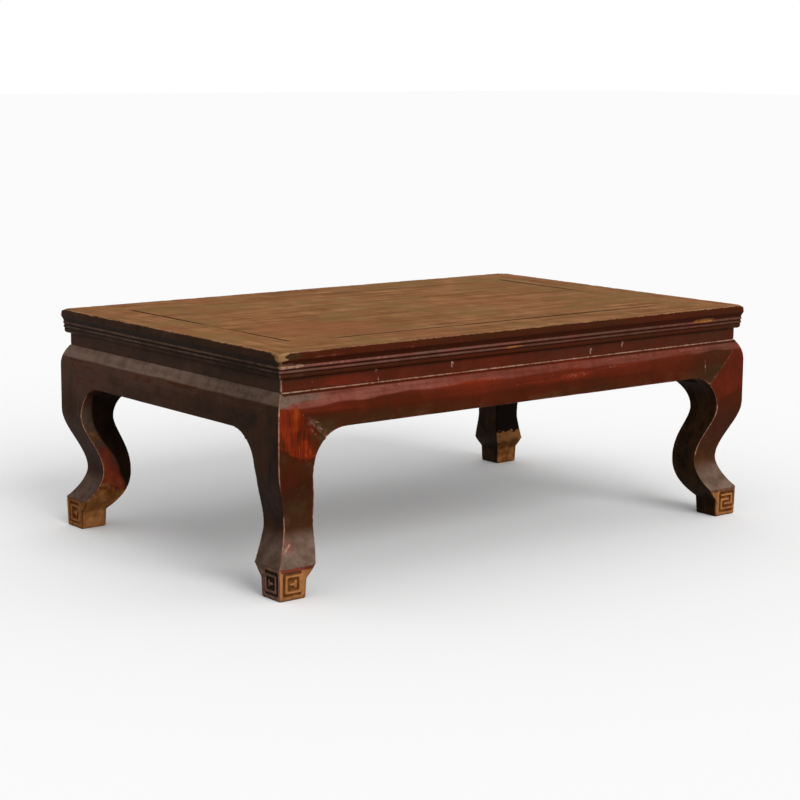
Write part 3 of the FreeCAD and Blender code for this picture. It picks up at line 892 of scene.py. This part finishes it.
class Painter:
    """Adds nodes to a material or to the world, and hands back their outputs."""

    def __init__(self, owner):
        owner.use_nodes = True
        self.owner = owner
        self.tree = owner.node_tree
        self.tree.nodes.clear()

    def node(self, kind, values, **settings):
        """A node with its settings, and a number, colour or link for each of these inputs."""
        made = self.tree.nodes.new("ShaderNode" + kind)
        for key, value in settings.items():
            setattr(made, key, value)
        for key, value in values.items():
            if isinstance(value, bpy.types.NodeSocket):
                self.tree.links.new(value, made.inputs[key])
            else:
                made.inputs[key].default_value = value
        return made

    def attribute(self, name, output="Fac"):
        """What the mesh stores under a name."""
        return self.node("Attribute", {}, attribute_name=name).outputs[output]

    def place(self):
        """The place in the frame."""
        return self.node("TexCoord", {}).outputs["Object"]

    def from_middle(self, place):
        """How far a place is from the middle of the table, along X and along Y."""
        away = self.node("VectorMath", {0: place}, operation="ABSOLUTE").outputs[0]
        return self.node("SeparateXYZ", {0: away}).outputs[:2]

    def noise(self, vector, scale, detail=4.0, roughness=0.55, distortion=0.0):
        """Noise from 0 to 1."""
        values = {
            "Vector": vector, "Scale": scale, "Detail": detail,
            "Roughness": roughness, "Distortion": distortion,
        }
        return self.node("TexNoise", values).outputs[0]

    def streaks(self, vector, factors, detail, roughness=0.55):
        """Noise drawn out by a factor for each axis."""
        values = {0: vector, 1: factors}
        drawn_out = self.node("VectorMath", values, operation="MULTIPLY").outputs[0]
        return self.noise(drawn_out, 1.0, detail, roughness)

    def math(self, operation, *values, clamp=False):
        """One operation on numbers and outputs."""
        numbered = dict(enumerate(values))
        return self.node("Math", numbered, operation=operation, use_clamp=clamp).outputs[0]

    def add(self, first, second):
        """Two values added."""
        return self.math("ADD", first, second)

    def times(self, first, second):
        """Two values multiplied."""
        return self.math("MULTIPLY", first, second)

    def wobbled(self, value, *noises):
        """A value moved up and down about its middle by each noise, as (noise, amount)."""
        for noise, amount in noises:
            value = self.math("MULTIPLY_ADD", noise, amount, self.add(value, -amount / 2))
        return value

    def span(self, value, low, high, to_low=0.0, to_high=1.0):
        """A value carried softly from one range to another."""
        values = {0: value, 1: low, 2: high, 3: to_low, 4: to_high}
        return self.node("MapRange", values, interpolation_type="SMOOTHSTEP").outputs[0]

    def mix(self, factor, first, second):
        """A mix of two colours, each an output or three numbers."""
        first, second = [(*part, 1) if isinstance(part, tuple) else part for part in (first, second)]
        return self.node("Mix", {0: factor, 6: first, 7: second}, data_type="RGBA").outputs[2]

    def tinted(self, colour, other, value, low, high, most):
        """A colour moved towards another one, up to a share, as a value goes from low to high."""
        return self.mix(self.span(value, low, high, 0.0, most), colour, other)

    def ramp(self, factor, stops):
        """A colour read off a ramp."""
        made = self.node("ValToRGB", {0: factor})
        elements = made.color_ramp.elements
        while len(elements) < len(stops):
            elements.new(0.5)
        for element, (place, colour) in zip(elements, stops):
            element.position = place
            element.color = (*colour, 1)
        return made.outputs[0]

    def finish(self, colour, roughness, height, depth, gloss):
        """The material, with a surface as rough as its height says."""
        bump = self.node("Bump", {"Height": height, "Strength": 1.0, "Distance": depth})
        shader = self.node("BsdfPrincipled", {
            "Base Color": colour, "Roughness": roughness, "Normal": bump.outputs[0],
            "Specular IOR Level": gloss,
        })
        self.node("OutputMaterial", {"Surface": shader.outputs[0]})
        return self.owner


def worn_wood(paint, grain, place):
    """Tan wood with old finish in its grain, and the dark line round the panel.

    Gives its colour and the height of its grain.
    """
    streaks = paint.streaks(grain, (3.5, 130.0, 130.0), 5.0, 0.65)
    bands = paint.streaks(grain, (3.5, 60.0, 60.0), 4.0, 0.6)
    patches = paint.noise(place, 9.5, 4.0, 0.55, 0.6)
    mottled = paint.noise(place, 24.0, 4.0, 0.55)
    mixed = paint.add(paint.times(streaks, 0.4), paint.times(bands, 0.3))
    colour = paint.ramp(paint.add(mixed, paint.times(mottled, 0.3)), wood_ramp)
    colour = paint.tinted(colour, wood_green, patches, 0.48, 0.62, 0.6)
    colour = paint.tinted(colour, wood_red, paint.noise(place, 7.0, 4.0, 0.6, 0.5), 0.5, 0.66, 0.6)
    scratches = paint.streaks(grain, (9.0, 420.0, 420.0), 2.0)
    colour = paint.tinted(colour, wood_scratch, scratches, 0.64, 0.74, 0.4)
    pores = paint.streaks(grain, (40.0, 700.0, 700.0), 2.0)
    colour = paint.tinted(colour, wood_pore, pores, 0.62, 0.7, 0.3)

    away_x, away_y = paint.from_middle(place)
    from_ends = paint.add(away_x, -panel_half_length)
    from_sides = paint.add(away_y, -panel_half_depth)
    from_line = paint.math("ABSOLUTE", paint.math("MAXIMUM", from_ends, from_sides))
    frayed = paint.wobbled(from_line, (paint.noise(place, 160.0, 4.0, 0.7), 0.0016))
    strength = paint.attribute("seam")
    widened = paint.math("MAXIMUM", paint.add(strength, -1.0), 0.0)
    frayed = paint.add(frayed, paint.times(widened, -0.003))
    uneven = paint.span(paint.noise(place, 24.0, 4.0, 0.7), 0.3, 0.6, 0.5, 1.3)
    seam = paint.times(paint.span(frayed, 0.0008, 0.0034, 1.0, 0.0), paint.times(strength, uneven))
    seam = paint.math("MINIMUM", paint.times(seam, 1.25), 1.0)
    return paint.mix(seam, colour, seam_dark), streaks


def lacquer(name):
    """Old lacquer over wood: where it is red, olive, dusty with a painted sheen, darkened in grimy hollows
    and by painted shade, or worn through comes with the mesh.
    """
    paint = Painter(bpy.data.materials.new(name))
    place = paint.place()
    grain = paint.attribute("grain", "Vector")
    edge, hollow, red, olive, dust, bare, scuff, tan, top = [paint.attribute(mask) for mask in mask_names]

    broad = paint.noise(place, 11.0, 4.0, 0.6)
    cloudy = paint.noise(place, 38.0, 4.0, 0.6)
    fine = paint.noise(place, 150.0, 5.0, 0.65)
    brushed = paint.streaks(grain, (5.0, 75.0, 75.0), 4.0, 0.6)
    hairs = paint.streaks(grain, (22.0, 430.0, 430.0), 3.0, 0.6)
    specks = paint.noise(place, 420.0, 2.0)

    tint = paint.wobbled(red, (broad, 0.35), (cloudy, 0.3), (brushed, 0.35))
    colour = paint.ramp(tint, lacquer_ramp)
    dulled = paint.span(paint.wobbled(olive, (cloudy, 0.8), (brushed, 0.4)), 0.3, 0.7)
    olives = paint.mix(paint.span(broad, 0.35, 0.65), olive_dark, olive_light)
    colour = paint.mix(paint.times(dulled, 0.85), colour, olives)
    colour = paint.tinted(colour, hair_dark, hairs, 0.58, 0.7, 0.5)

    # Dusting, which also paints a sheen on the shoulders, the flare and the front beads
    clouds = paint.times(dust, paint.span(paint.noise(place, 45.0, 5.0, 0.7), 0.34, 0.6, 0.55, 1.0))
    dusts = paint.mix(paint.span(red, 0.35, 0.6), dust_grey, dust_pink)
    colour = paint.mix(clouds, colour, dusts)

    rub = paint.wobbled(edge, (fine, 0.7), (cloudy, 0.6), (broad, 0.5))
    reddish = paint.span(red, 0.3, 0.45)
    colour = paint.tinted(colour, paint.mix(reddish, rub_grey, rub_pink), rub, 0.34, 0.58, 0.85)
    worn = paint.times(paint.span(rub, 0.58, 0.9), paint.span(red, 0.2, 0.4, 0.35, 1.0))
    pale = paint.mix(paint.span(fine, 0.35, 0.65), worn_dark, worn_light)
    colour = paint.mix(worn, colour, pale)

    gone = paint.span(paint.wobbled(bare, (fine, 0.5), (cloudy, 0.4)), 0.4, 0.62)
    gold = paint.ramp(paint.noise(place, 62.0, 5.0, 0.7), gold_ramp)
    gold = paint.tinted(gold, gold_ridge, edge, 0.2, 1.1, 0.8)
    colour = paint.mix(gone, colour, gold)

    scuffed = paint.mix(paint.span(fine, 0.35, 0.65), scuff_dark, scuff_light)
    marks = paint.wobbled(scuff, (fine, 0.7), (cloudy, 0.3))
    colour = paint.tinted(colour, scuffed, marks, 0.35, 0.75, 0.8)

    wood, streaks = worn_wood(paint, grain, place)
    away_x, away_y = paint.from_middle(place)
    short_inset = paint.math("SUBTRACT", half_length, away_x)
    long_inset = paint.math("SUBTRACT", half_depth, away_y)
    inset = paint.math("MINIMUM", short_inset, long_inset)
    bites = paint.span(paint.noise(place, 190.0, 5.0, 0.75), 0.44, 0.7, 0.0, 0.0055)
    bites = paint.times(bites, paint.span(short_inset, 0.006, 0.02, 0.45, 0.6))
    ragged = paint.times(top, paint.span(paint.math("SUBTRACT", inset, bites), -0.0002, 0.0022))
    rubbed_tan = paint.span(paint.wobbled(tan, (fine, 0.6), (cloudy, 0.5)), 0.42, 0.6)
    ragged = paint.math("MAXIMUM", ragged, rubbed_tan)
    colour = paint.mix(ragged, colour, wood)
    rim = paint.times(ragged, paint.span(inset, 0.0015, 0.006, 1.0, 0.0))
    rim = paint.times(rim, paint.span(cloudy, 0.35, 0.6))
    colour = paint.mix(paint.times(rim, 0.6), colour, wood_rim)

    # Darkening from grime in hollows, and painted shade in the cove, under the lip, atop the waist and on
    # shaded leg faces
    grime_and_shade_share = paint.times(hollow, paint.span(broad, 0.25, 0.6, 0.75, 1.0))
    grime_and_shade_share = paint.math("MULTIPLY", grime_and_shade_share, paint.span(gone, 0.0, 1.0, 1.0, 0.85), clamp=True)
    dirt_and_shade_colour = paint.mix(reddish, shade_and_dirt_black, shade_and_dirt_red)
    colour = paint.mix(grime_and_shade_share, colour, paint.mix(gone, dirt_and_shade_colour, gold_shade_and_dirt))
    flecks = paint.times(paint.span(specks, 0.7, 0.75), paint.span(broad, 0.48, 0.62))
    colour = paint.mix(paint.times(flecks, 0.35), colour, fleck_pale)

    open_wood = paint.math("MAXIMUM", ragged, paint.math("MAXIMUM", gone, worn))
    roughness = paint.add(paint.times(open_wood, 0.35), paint.times(clouds, 0.25))
    roughness = paint.wobbled(paint.add(roughness, 0.42), (fine, 0.25))

    height = paint.add(paint.times(fine, 0.5), paint.times(broad, 0.8))
    height = paint.add(height, paint.times(streaks, paint.times(ragged, 0.5)))
    height = paint.add(height, paint.times(open_wood, -0.5))
    height = paint.add(height, paint.times(paint.span(hairs, 0.56, 0.68), -0.25))
    return paint.finish(colour, roughness, height, 0.0004, lacquer_gloss)


def panel_wood():
    """The boards of the panel."""
    paint = Painter(bpy.data.materials.new("worn_top"))
    place = paint.place()
    colour, streaks = worn_wood(paint, paint.attribute("grain", "Vector"), place)
    fine = paint.noise(place, 130.0, 5.0, 0.65)
    roughness = paint.add(0.62, paint.times(fine, 0.3))
    return paint.finish(colour, roughness, streaks, 0.0003, lacquer_gloss)


def bare_wood():
    """Old bare softwood for what is under the table."""
    paint = Painter(bpy.data.materials.new("bare_wood"))
    streaks = paint.streaks(paint.place(), (90.0, 4.0, 90.0), 5.0, 0.6)
    stains = paint.noise(paint.place(), 12.0, 4.0, 0.6)
    colour = paint.ramp(streaks, softwood_ramp)
    colour = paint.tinted(colour, softwood_stain, stains, 0.45, 0.7, 0.7)
    roughness = paint.span(streaks, 0.2, 0.8, 0.6, 0.85)
    return paint.finish(colour, roughness, streaks, 0.0003, bare_gloss)


materials = {name: lacquer(name) for name in ("top_lacquer", "red_lacquer", "leg_lacquer")}
materials["worn_top"] = panel_wood()
materials["bare_wood"] = bare_wood()


# Pieces


def dress(mesh, node, slot):
    """Put a finished mesh in a node's place, with the material of its slot."""
    mesh.materials.append(materials[slot])
    piece = new_piece(node + "_worn", mesh)
    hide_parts(node)
    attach(piece, "root")


def dress_worn(mesh, node, slot, points, grain, **masks):
    """Store what the lacquer reads, nought for a mask that is not given, and dress the node."""
    set_grain(mesh, points, grain)
    for name in ("seam", *mask_names):
        set_values(mesh, name, np.zeros(len(points)) + masks.get(name, 0.0))
    dress(mesh, node, slot)


def grain_along(side):
    """The axis along a side."""
    return "x" if side in ("front", "back") else "y"


def sides_of(corner):
    """The long and the short side that meet at a corner."""
    x, y = corners[corner]
    return [side for side, place in sides.items() if place in ((x, 0), (0, y))]


def make_rails():
    """The moulded top frame: lacquer on its edge, rubbed wood on top."""
    outline = soft_loop(section_of("top_rail_front"))
    for number, side in enumerate(sides):
        node = "top_rail_" + side
        mesh, turn, from_mitre = swept(node, side, outline, rail_step, corner_round)
        points = points_of(mesh)
        normals = points_of(mesh, "normal")
        x = points[:, 0]
        drop = table_top - points[:, 2]
        short_inset, long_inset = insets_of(points)
        outer = 1 - rise(np.minimum(short_inset, long_inset), 0.012, 0.016)
        ridge = np.clip(turn, 0, 1)

        along = 0.55 + 0.75 * noise_at(points, 0.05, 10 + number)
        if side == "front":
            along = along * (1 - 0.5 * rise(x, -0.15, 0.2))
        # Rubbing along the ridges, with a painted highlight on the nose's widest rounding
        edge = ridge * np.interp(drop, rail_drops, rail_rubs_and_highlights[side]) * along
        dust = rail_dusts[side] * outer
        near_end = 0.25 * rise(short_inset, 0.2, 0.0)
        # The beads' pale lines: rubbing and a painted highlight, and on the front a painted sheen as well
        for strength, (place, half_width) in zip(bead_rubs_and_highlights[side], beads):
            bead = hump(drop, place - half_width, place + half_width, 0.0012) * outer
            if side == "front":
                dust = np.maximum(dust, 1.7 * strength * bead * (1 - 0.45 * rise(x, -0.2, 0.15)))
            edge = np.maximum(edge, strength * bead * (0.45 + 0.55 * along + near_end))
        at_corner = (1 - rise(from_mitre, 0.001, 0.004)) * outer
        corner_strength = 0.7 if side in ("front", "left") else 0.5
        edge = np.maximum(edge, at_corner * corner_strength * (0.5 + 0.5 * (x < 0)))
        hollow = np.clip(-turn, 0, 1) * outer
        # Painted shade in the cove under the nose
        hollow = np.maximum(hollow, 0.7 * hump(drop, 0.0122, 0.0165, 0.0015) * outer)

        uneven = 0.0004 * noise_at(points, 0.05, 1) + 0.0003 * noise_at(points, 0.012, 2)
        chips = rise(noise_at(points, 0.008, 3), 0.55, 0.9) * ridge * outer
        chips = chips * np.where(short_inset < 0.01, 0.0016, 0.0008) * (drop < 0.01)
        sunk = (uneven * 0.6 + chips) * rise(from_mitre, 0.0, 0.004)
        points = points - normals * sunk[:, None]
        lowered = corner_drop * (1 - rise(np.hypot(short_inset, long_inset), 0.0, corner_drop_reach))
        points[:, 2] -= lowered * (1 - rise(drop, 0.0, 0.02))
        move_points(mesh, points)

        masks = Wear(tan=0.0, bare=0.0, scuff=0.0)
        for name, strength, spot_x, spot_y, spot_drop, size, seed, ragged in frame_spots:
            centre = (spot_x, spot_y, table_top - spot_drop)
            masks.lift(name, strength * spot(points, centre, size, seed, ragged))
        masks["tan"] = masks["tan"] * outer
        olive = spot(points, (-0.447, -half_depth, table_top - 0.005), (0.014, 0.01, 0.005), 25)
        dress_worn(
            mesh, node, "top_lacquer", points, grain_along(side), seam=seam_strength(points),
            edge=edge * outer, hollow=hollow, red=rail_reds[side] * outer, dust=dust,
            olive=0.2 * outer + 0.5 * olive,
            top=rise(normals[:, 2], 0.25, 0.6) * rise(-drop, -0.003, -0.0015), **masks,
        )


def make_waists():
    """The waist under the top frame, with painted shade that makes it darker towards the frame."""
    outline = soft_loop(section_of("waist_front"))
    for number, side in enumerate(sides):
        node = "waist_" + side
        mesh, turn, from_mitre = swept(node, side, outline, waist_step, waist_corner_round)
        points = points_of(mesh)
        x, y, z = points.T
        height = (z - apron_top) / (rail_bottom - apron_top)
        # Painted shade under the top frame: the waist duller and darker towards it
        shaded = rise(height, 0.55, 1.0)
        scuff = 1.2 * (1 - rise(from_mitre, 0.0012, 0.0028)) * (x < 0) * (y < 0)
        for index, (fleck_x, fleck_z) in enumerate(waist_flecks):
            fleck = spot(points, (fleck_x, y.min(), fleck_z), fleck_size, 30 + index, 0.8)
            scuff = np.maximum(scuff, 0.8 * fleck)
        red = waist_reds[side] - 0.2 * shaded * (side != "left") + 0.12 * swing(points, 0.06, 35 + number)
        if side == "front":
            red = red - 0.09 * rise(x, -0.2, 0.25)
        dress_worn(
            mesh, node, "red_lacquer", points, grain_along(side), edge=np.clip(turn, 0, 1) * 0.3,
            hollow=0.45 * rise(height, 0.8, 1.0), red=red, olive=0.1 + 0.3 * shaded, dust=0.1, scuff=scuff,
        )


def make_boards():
    """The boards of the panel, cut in cells that can carry the line round it."""
    for number in (1, 2, 3):
        node = "panel_board_%d" % number
        mesh = bevelled(node, board_bevel, 1)
        low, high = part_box(node)
        work = bmesh.new()
        work.from_mesh(mesh)
        for axis in (0, 1):
            for place in np.arange(low[axis] + board_cell, high[axis], board_cell):
                cut_across(work, axis, place, False)
        handed_back(work, mesh)
        points = points_of(mesh)
        seam = seam_strength(points)
        unmarked = (1 - rise(seam, 0.3, 0.7)) * (points[:, 2] > table_top - 0.004)
        for axis, half in ((0, panel_half_length), (1, panel_half_depth)):
            inset = half - np.abs(points[:, axis])
            shift = unmarked * (panel_gap - 0.0001) * (1 - rise(inset, panel_gap + 0.0002, 0.004))
            points[:, axis] += np.sign(points[:, axis]) * shift
        move_points(mesh, points)
        smooth_edges_only(mesh)
        set_grain(mesh, points, "x")
        set_values(mesh, "seam", seam)
        dress(mesh, node, "worn_top")


def make_battens():
    """The battens under the panel."""
    for number in (1, 2, 3):
        node = "underside_batten_%d" % number
        mesh = bevelled(node, batten_bevel, 3)
        smooth_edges_only(mesh)
        dress(mesh, node, "bare_wood")


def make_aprons():
    """The aprons: a dusting and a painted sheen on the shoulder, painted shade under the lip, dull lacquer
    towards the bottom.
    """
    for number, (side, (out_x, out_y)) in enumerate(sides.items()):
        node = "apron_" + side
        legs = ["leg_" + corner for corner in corners if side in sides_of(corner)]
        mesh, points, stand_out, joint, _ = carved(node, apron_voxel, legs)
        set_shape(mesh, points, joint)
        normals = points_of(mesh, "normal")
        outer = rise(normals[:, 0] * out_x + normals[:, 1] * out_y, -0.1, 0.4)
        x, y, z = points.T
        along, half_run = (x, half_length) if out_x == 0 else (y, half_depth)
        near_leg = rise(np.abs(along), half_run - 0.13, half_run - 0.05)
        straight_bottom = z[np.abs(along) < 0.1].min()
        drop = apron_top - z
        depth = drop / (apron_top - straight_bottom)
        streaks = noise_at(points, (0.09, 0.09, 0.004), 63)

        edge = np.clip(stand_out, 0, 1) * (1 - joint) * (z < straight_bottom + 0.02)
        edge = edge * apron_rubs[side] * (0.6 + 0.6 * noise_at(points, 0.04, 76) + 0.5 * near_leg) * outer
        hollow = np.clip(-stand_out, 0, 1) * 0.8
        # A dark line just under the lip, painted shade
        hollow = np.maximum(hollow, 0.5 * hump(drop, 0.0026, 0.0042, 0.0009) * (side != "left") * outer)
        red = apron_reds[side] - 0.13 * rise(depth, 0.5, 0.72) * (side != "left")
        waves = 0.2 * swing(points, (0.12, 0.12, 0.03), 50 + number)
        red = red + waves * (0.3 if side == "left" else 1)
        olive = 0.14 + 0.3 * rise(depth, 0.5, 0.95) + 0.25 * swing(points, (0.07, 0.07, 0.02), 54)
        # A dusting and a painted sheen along the shoulder
        dust = shoulder_dust(points, side) + 0.03
        scuff = np.zeros(len(points))
        if side == "left":
            olive = olive * 0.4
            red = red + between(along, left_reds) + 0.06 * hump(depth, 0.28, 0.45, 0.1)
            red = red + 0.2 * spot(points, (x.min(), -0.04, apron_top - 0.018), (0.02, 0.05, 0.006), 55, 0.9)
        else:
            # A pale line along the top edge: scuffing, and a painted highlight where the ledge catches the
            # light
            scuff = 0.75 * hump(drop, 0.0, 0.0014, 0.001) * (0.85 + 0.3 * noise_at(points, 0.05, 77))
        if side == "front":
            red = red + between(along, front_reds)
            red = red + 0.08 * rise(streaks, 0.5, 0.8) * (1 - rise(depth, 0.5, 0.7))
            red = red + 0.1 * (1 - rise(along, -0.39, -0.33)) * hump(depth, 0.28, 0.5, 0.06)
            red = red - 0.25 * (1 - rise(along, -0.45, -0.36)) * (1 - rise(depth, 0.2, 0.42))
            olive = olive + 0.18 * rise(along, 0.27, 0.42) + 0.2 * near_leg * rise(depth, 0.6, 0.9)
            for ends in apron_scratches:
                scuff = np.maximum(scuff, 0.62 * line(points, ends, 0.0016, y.min()))
            hazy, streaked = bracket_rub(points)
            dust = dust + 0.5 * hazy
            scuff = np.maximum(scuff, 0.68 * streaked)
            scuff = np.maximum(scuff, 0.36 * rise(streaks, 0.62, 0.7) * hump(z, 0.268, 0.29, 0.006) * outer)
        dress_worn(
            mesh, node, "red_lacquer", points, grain_along(side), edge=edge, hollow=hollow,
            red=red * outer + 0.1 * (1 - outer), olive=olive * outer + 0.5 * (1 - outer),
            dust=dust * outer, scuff=scuff * outer,
        )


def make_legs():
    """The legs: a dusting and a painted sheen on the shoulder and the flare, rubbed arrises, carved feet,
    painted shade on the inner faces, and painted light and shadow on the back legs' front faces.
    """
    for number, (corner, (side_x, side_y)) in enumerate(corners.items()):
        node = "leg_" + corner
        aprons = ["apron_" + side for side in sides_of(corner)]
        mesh, points, stand_out, joint, from_apron = carved(node, leg_voxel, aprons)
        points = with_round_sole(points, side_x, side_y)
        set_shape(mesh, points, joint)
        normals = points_of(mesh, "normal")
        x, y, z = points.T
        short_inset = insets_of(points)[0]
        outward_x, outward_y = normals[:, 0] * side_x, normals[:, 1] * side_y
        outer_x, outer_y = rise(outward_x, 0.2, 0.6), rise(outward_y, 0.2, 0.6)
        inner = np.maximum(rise(-outward_x, 0.2, 0.6), rise(-outward_y, 0.2, 0.6))
        outer = np.maximum(outer_x, outer_y)
        long_face = outer_y * (1 - outer_x)
        facing = rise(-normals[:, 1], 0.3, 0.7) * (side_y > 0)
        at_corner = (outer_x > 0.02) & (outer_y > 0.02)

        # Only the outer faces get red lacquer; the inner ones stay nearly black, painted shade under the
        # table
        red = outer_x * between(z, leg_reds_x[corner]) + long_face * leg_reds_y[side_y]
        red = red + 0.08 * inner * (1 - outer)
        if corner == "front_right":
            red = red + outer_y * (0.05 + 0.22 * rise(z + 0.35 * (short_inset - 0.03), 0.2, 0.212))
        red = red + 0.14 * swing(points, 0.035, 100 + number) * outer_y
        # A dusting and a painted sheen on the flare
        flare = hump(z, 0.05, 0.07, 0.03) * (outer_y + 0.55 * outer_x * (1 - outer_y))
        dust = 0.03 + 0.85 * flare * (0.5 + 0.9 * noise_at(points, (0.016, 0.016, 0.009), 110 + number))
        for side, share in zip(sides_of(corner), (long_face, outer_x)):
            dust = dust + shoulder_dust(points, side) * share
        heel = 1 - rise(z + 0.01 * swing(points, 0.0035, 95), 0.065, 0.069)
        edge = np.clip(stand_out, 0, 1) * outer * (1 - joint)
        edge = edge * np.where(at_corner, 1, 1 - hump(z, 0.05, 0.09, 0.02))
        edge = edge * np.where(outer_x > 0.6, leg_rubs_x[side_x], leg_rubs_y[side_y])
        masks = Wear(
            edge=edge, hollow=np.clip(-stand_out, 0, 1), red=red * (1 - 0.35 * flare), dust=dust,
            olive=0.14 + 0.35 * hump(z, 0.05, 0.13, 0.04) * outer_y + 0.25 * inner,
            bare=0.95 * heel * facing * (side_x > 0), scuff=np.zeros(len(points)),
        )
        if corner == "front_left":
            front_left_wear(points, masks, outer_y, at_corner)
        if corner == "front_right":
            mitre = (1 - rise(from_apron, 0.0004, 0.0013)) * outer_y * (1 - rise(z, 0.28, 0.286))
            masks.lift("scuff", 0.72 * mitre)
        if corner == "back_right":
            # The inner front face: painted shadow above the heel and on the foot, and painted light on the
            # heel
            shade_and_soil = 0.5 * spot(points, (x.max(), y.min(), 0.024), (0.03, 0.05, 0.02), 96, 0.8)
            masks.lift("hollow", facing * (1 - heel + shade_and_soil))
            rubbed = heel * facing * (0.35 + 0.65 * rise(z, 0.04, 0.05))
            masks.lift("edge", rubbed * (0.5 + noise_at(points, 0.007, 97)))
        if corner == "back_left":
            # Painted light down a strip beside the outer arris of the front face, and painted shadow on the
            # rest
            levels = np.floor(z / strip_level).astype(int)
            outer_line = np.full(levels.max() + 1, np.inf)
            np.minimum.at(outer_line, levels, short_inset)
            from_arris = short_inset - outer_line[levels]
            lit_strip_and_shadow(points, masks, from_arris, facing * (1 - outer_x))
            outer_arris = 1 - rise(from_arris, 0.0008, 0.0026)
            outer_arris = outer_arris * facing * hump(z, 0.055, 0.225, 0.02)
            masks.lift("edge", 1.25 * outer_arris)
            masks.lift("red", 0.5 * rise(outer_arris, 0.1, 0.4))
            masks.fade("bare", outer_arris)
        foot_wear(points, masks, side_x, side_y)
        dress_worn(mesh, node, "leg_lacquer", points, "z", **masks)


# Stage


def place_camera():
    """The camera at the photograph's place, angle and lens."""
    level = math.cos(camera_pitch)
    ahead = Vector((level * math.cos(camera_yaw), level * math.sin(camera_yaw), math.sin(camera_pitch)))
    right = ahead.cross(Vector((0, 0, 1))).normalized()
    up = right.cross(ahead)
    turned_right = math.cos(camera_roll) * right + math.sin(camera_roll) * up
    turned_up = math.cos(camera_roll) * up - math.sin(camera_roll) * right
    data = bpy.data.cameras.new("camera")
    data.lens = camera_lens
    data.sensor_width = camera_sensor
    camera = new_piece("camera", data)
    columns = (turned_right, turned_up, -ahead, camera_place)
    camera.matrix_world = Matrix([*zip(*columns), (0, 0, 0, 1)])
    bpy.context.scene.camera = camera


def seen_directly(paint):
    """1 where the camera sees the surface itself, or in a reflection or through glass."""
    rays = paint.node("LightPath", {})
    seen = paint.math("MAXIMUM", rays.outputs["Is Camera Ray"], rays.outputs["Is Glossy Ray"])
    return paint.math("MAXIMUM", seen, rays.outputs["Is Transmission Ray"])


def make_floor():
    """A plain floor that looks white and throws less light up than it shows."""
    paint = Painter(bpy.data.materials.new("floor"))
    shade = paint.span(seen_directly(paint), 0.0, 1.0, floor_bounce, floor_seen)
    shader = paint.node("BsdfDiffuse", {"Color": shade})
    paint.node("OutputMaterial", {"Surface": shader.outputs[0]})
    mesh = bpy.data.meshes.new("floor")
    places = [(x * floor_half_side, y * floor_half_side, 0) for x, y in ((-1, -1), (1, -1), (1, 1), (-1, 1))]
    mesh.from_pydata(places, [], [range(4)])
    mesh.materials.append(paint.owner)
    new_piece("floor", mesh)


def make_light():
    """Even light from all round, and a broad soft sun from the front."""
    paint = Painter(bpy.data.worlds.new("world"))
    strength = paint.span(seen_directly(paint), 0.0, 1.0, world_light, 1.0)
    shader = paint.node("Background", {"Color": (1, 1, 1, 1), "Strength": strength})
    paint.node("OutputWorld", {"Surface": shader.outputs[0]})
    bpy.context.scene.world = paint.owner
    data = bpy.data.lights.new("sun", "SUN")
    data.energy = sun_light
    data.angle = sun_softness
    sun = new_piece("sun", data)
    sun.location = sun_from
    sun.rotation_mode = "QUATERNION"
    sun.rotation_quaternion = (-Vector(sun_from)).to_track_quat("-Z", "Y")


make_rails()
make_waists()
make_boards()
make_battens()
make_aprons()
make_legs()
pin_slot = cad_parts["corner_pins"].material_slots[0]
pin_slot.link = "OBJECT"
pin_slot.material = materials["bare_wood"]
make_floor()
make_light()
place_camera()
bpy.context.scene.view_settings.view_transform = "Standard"
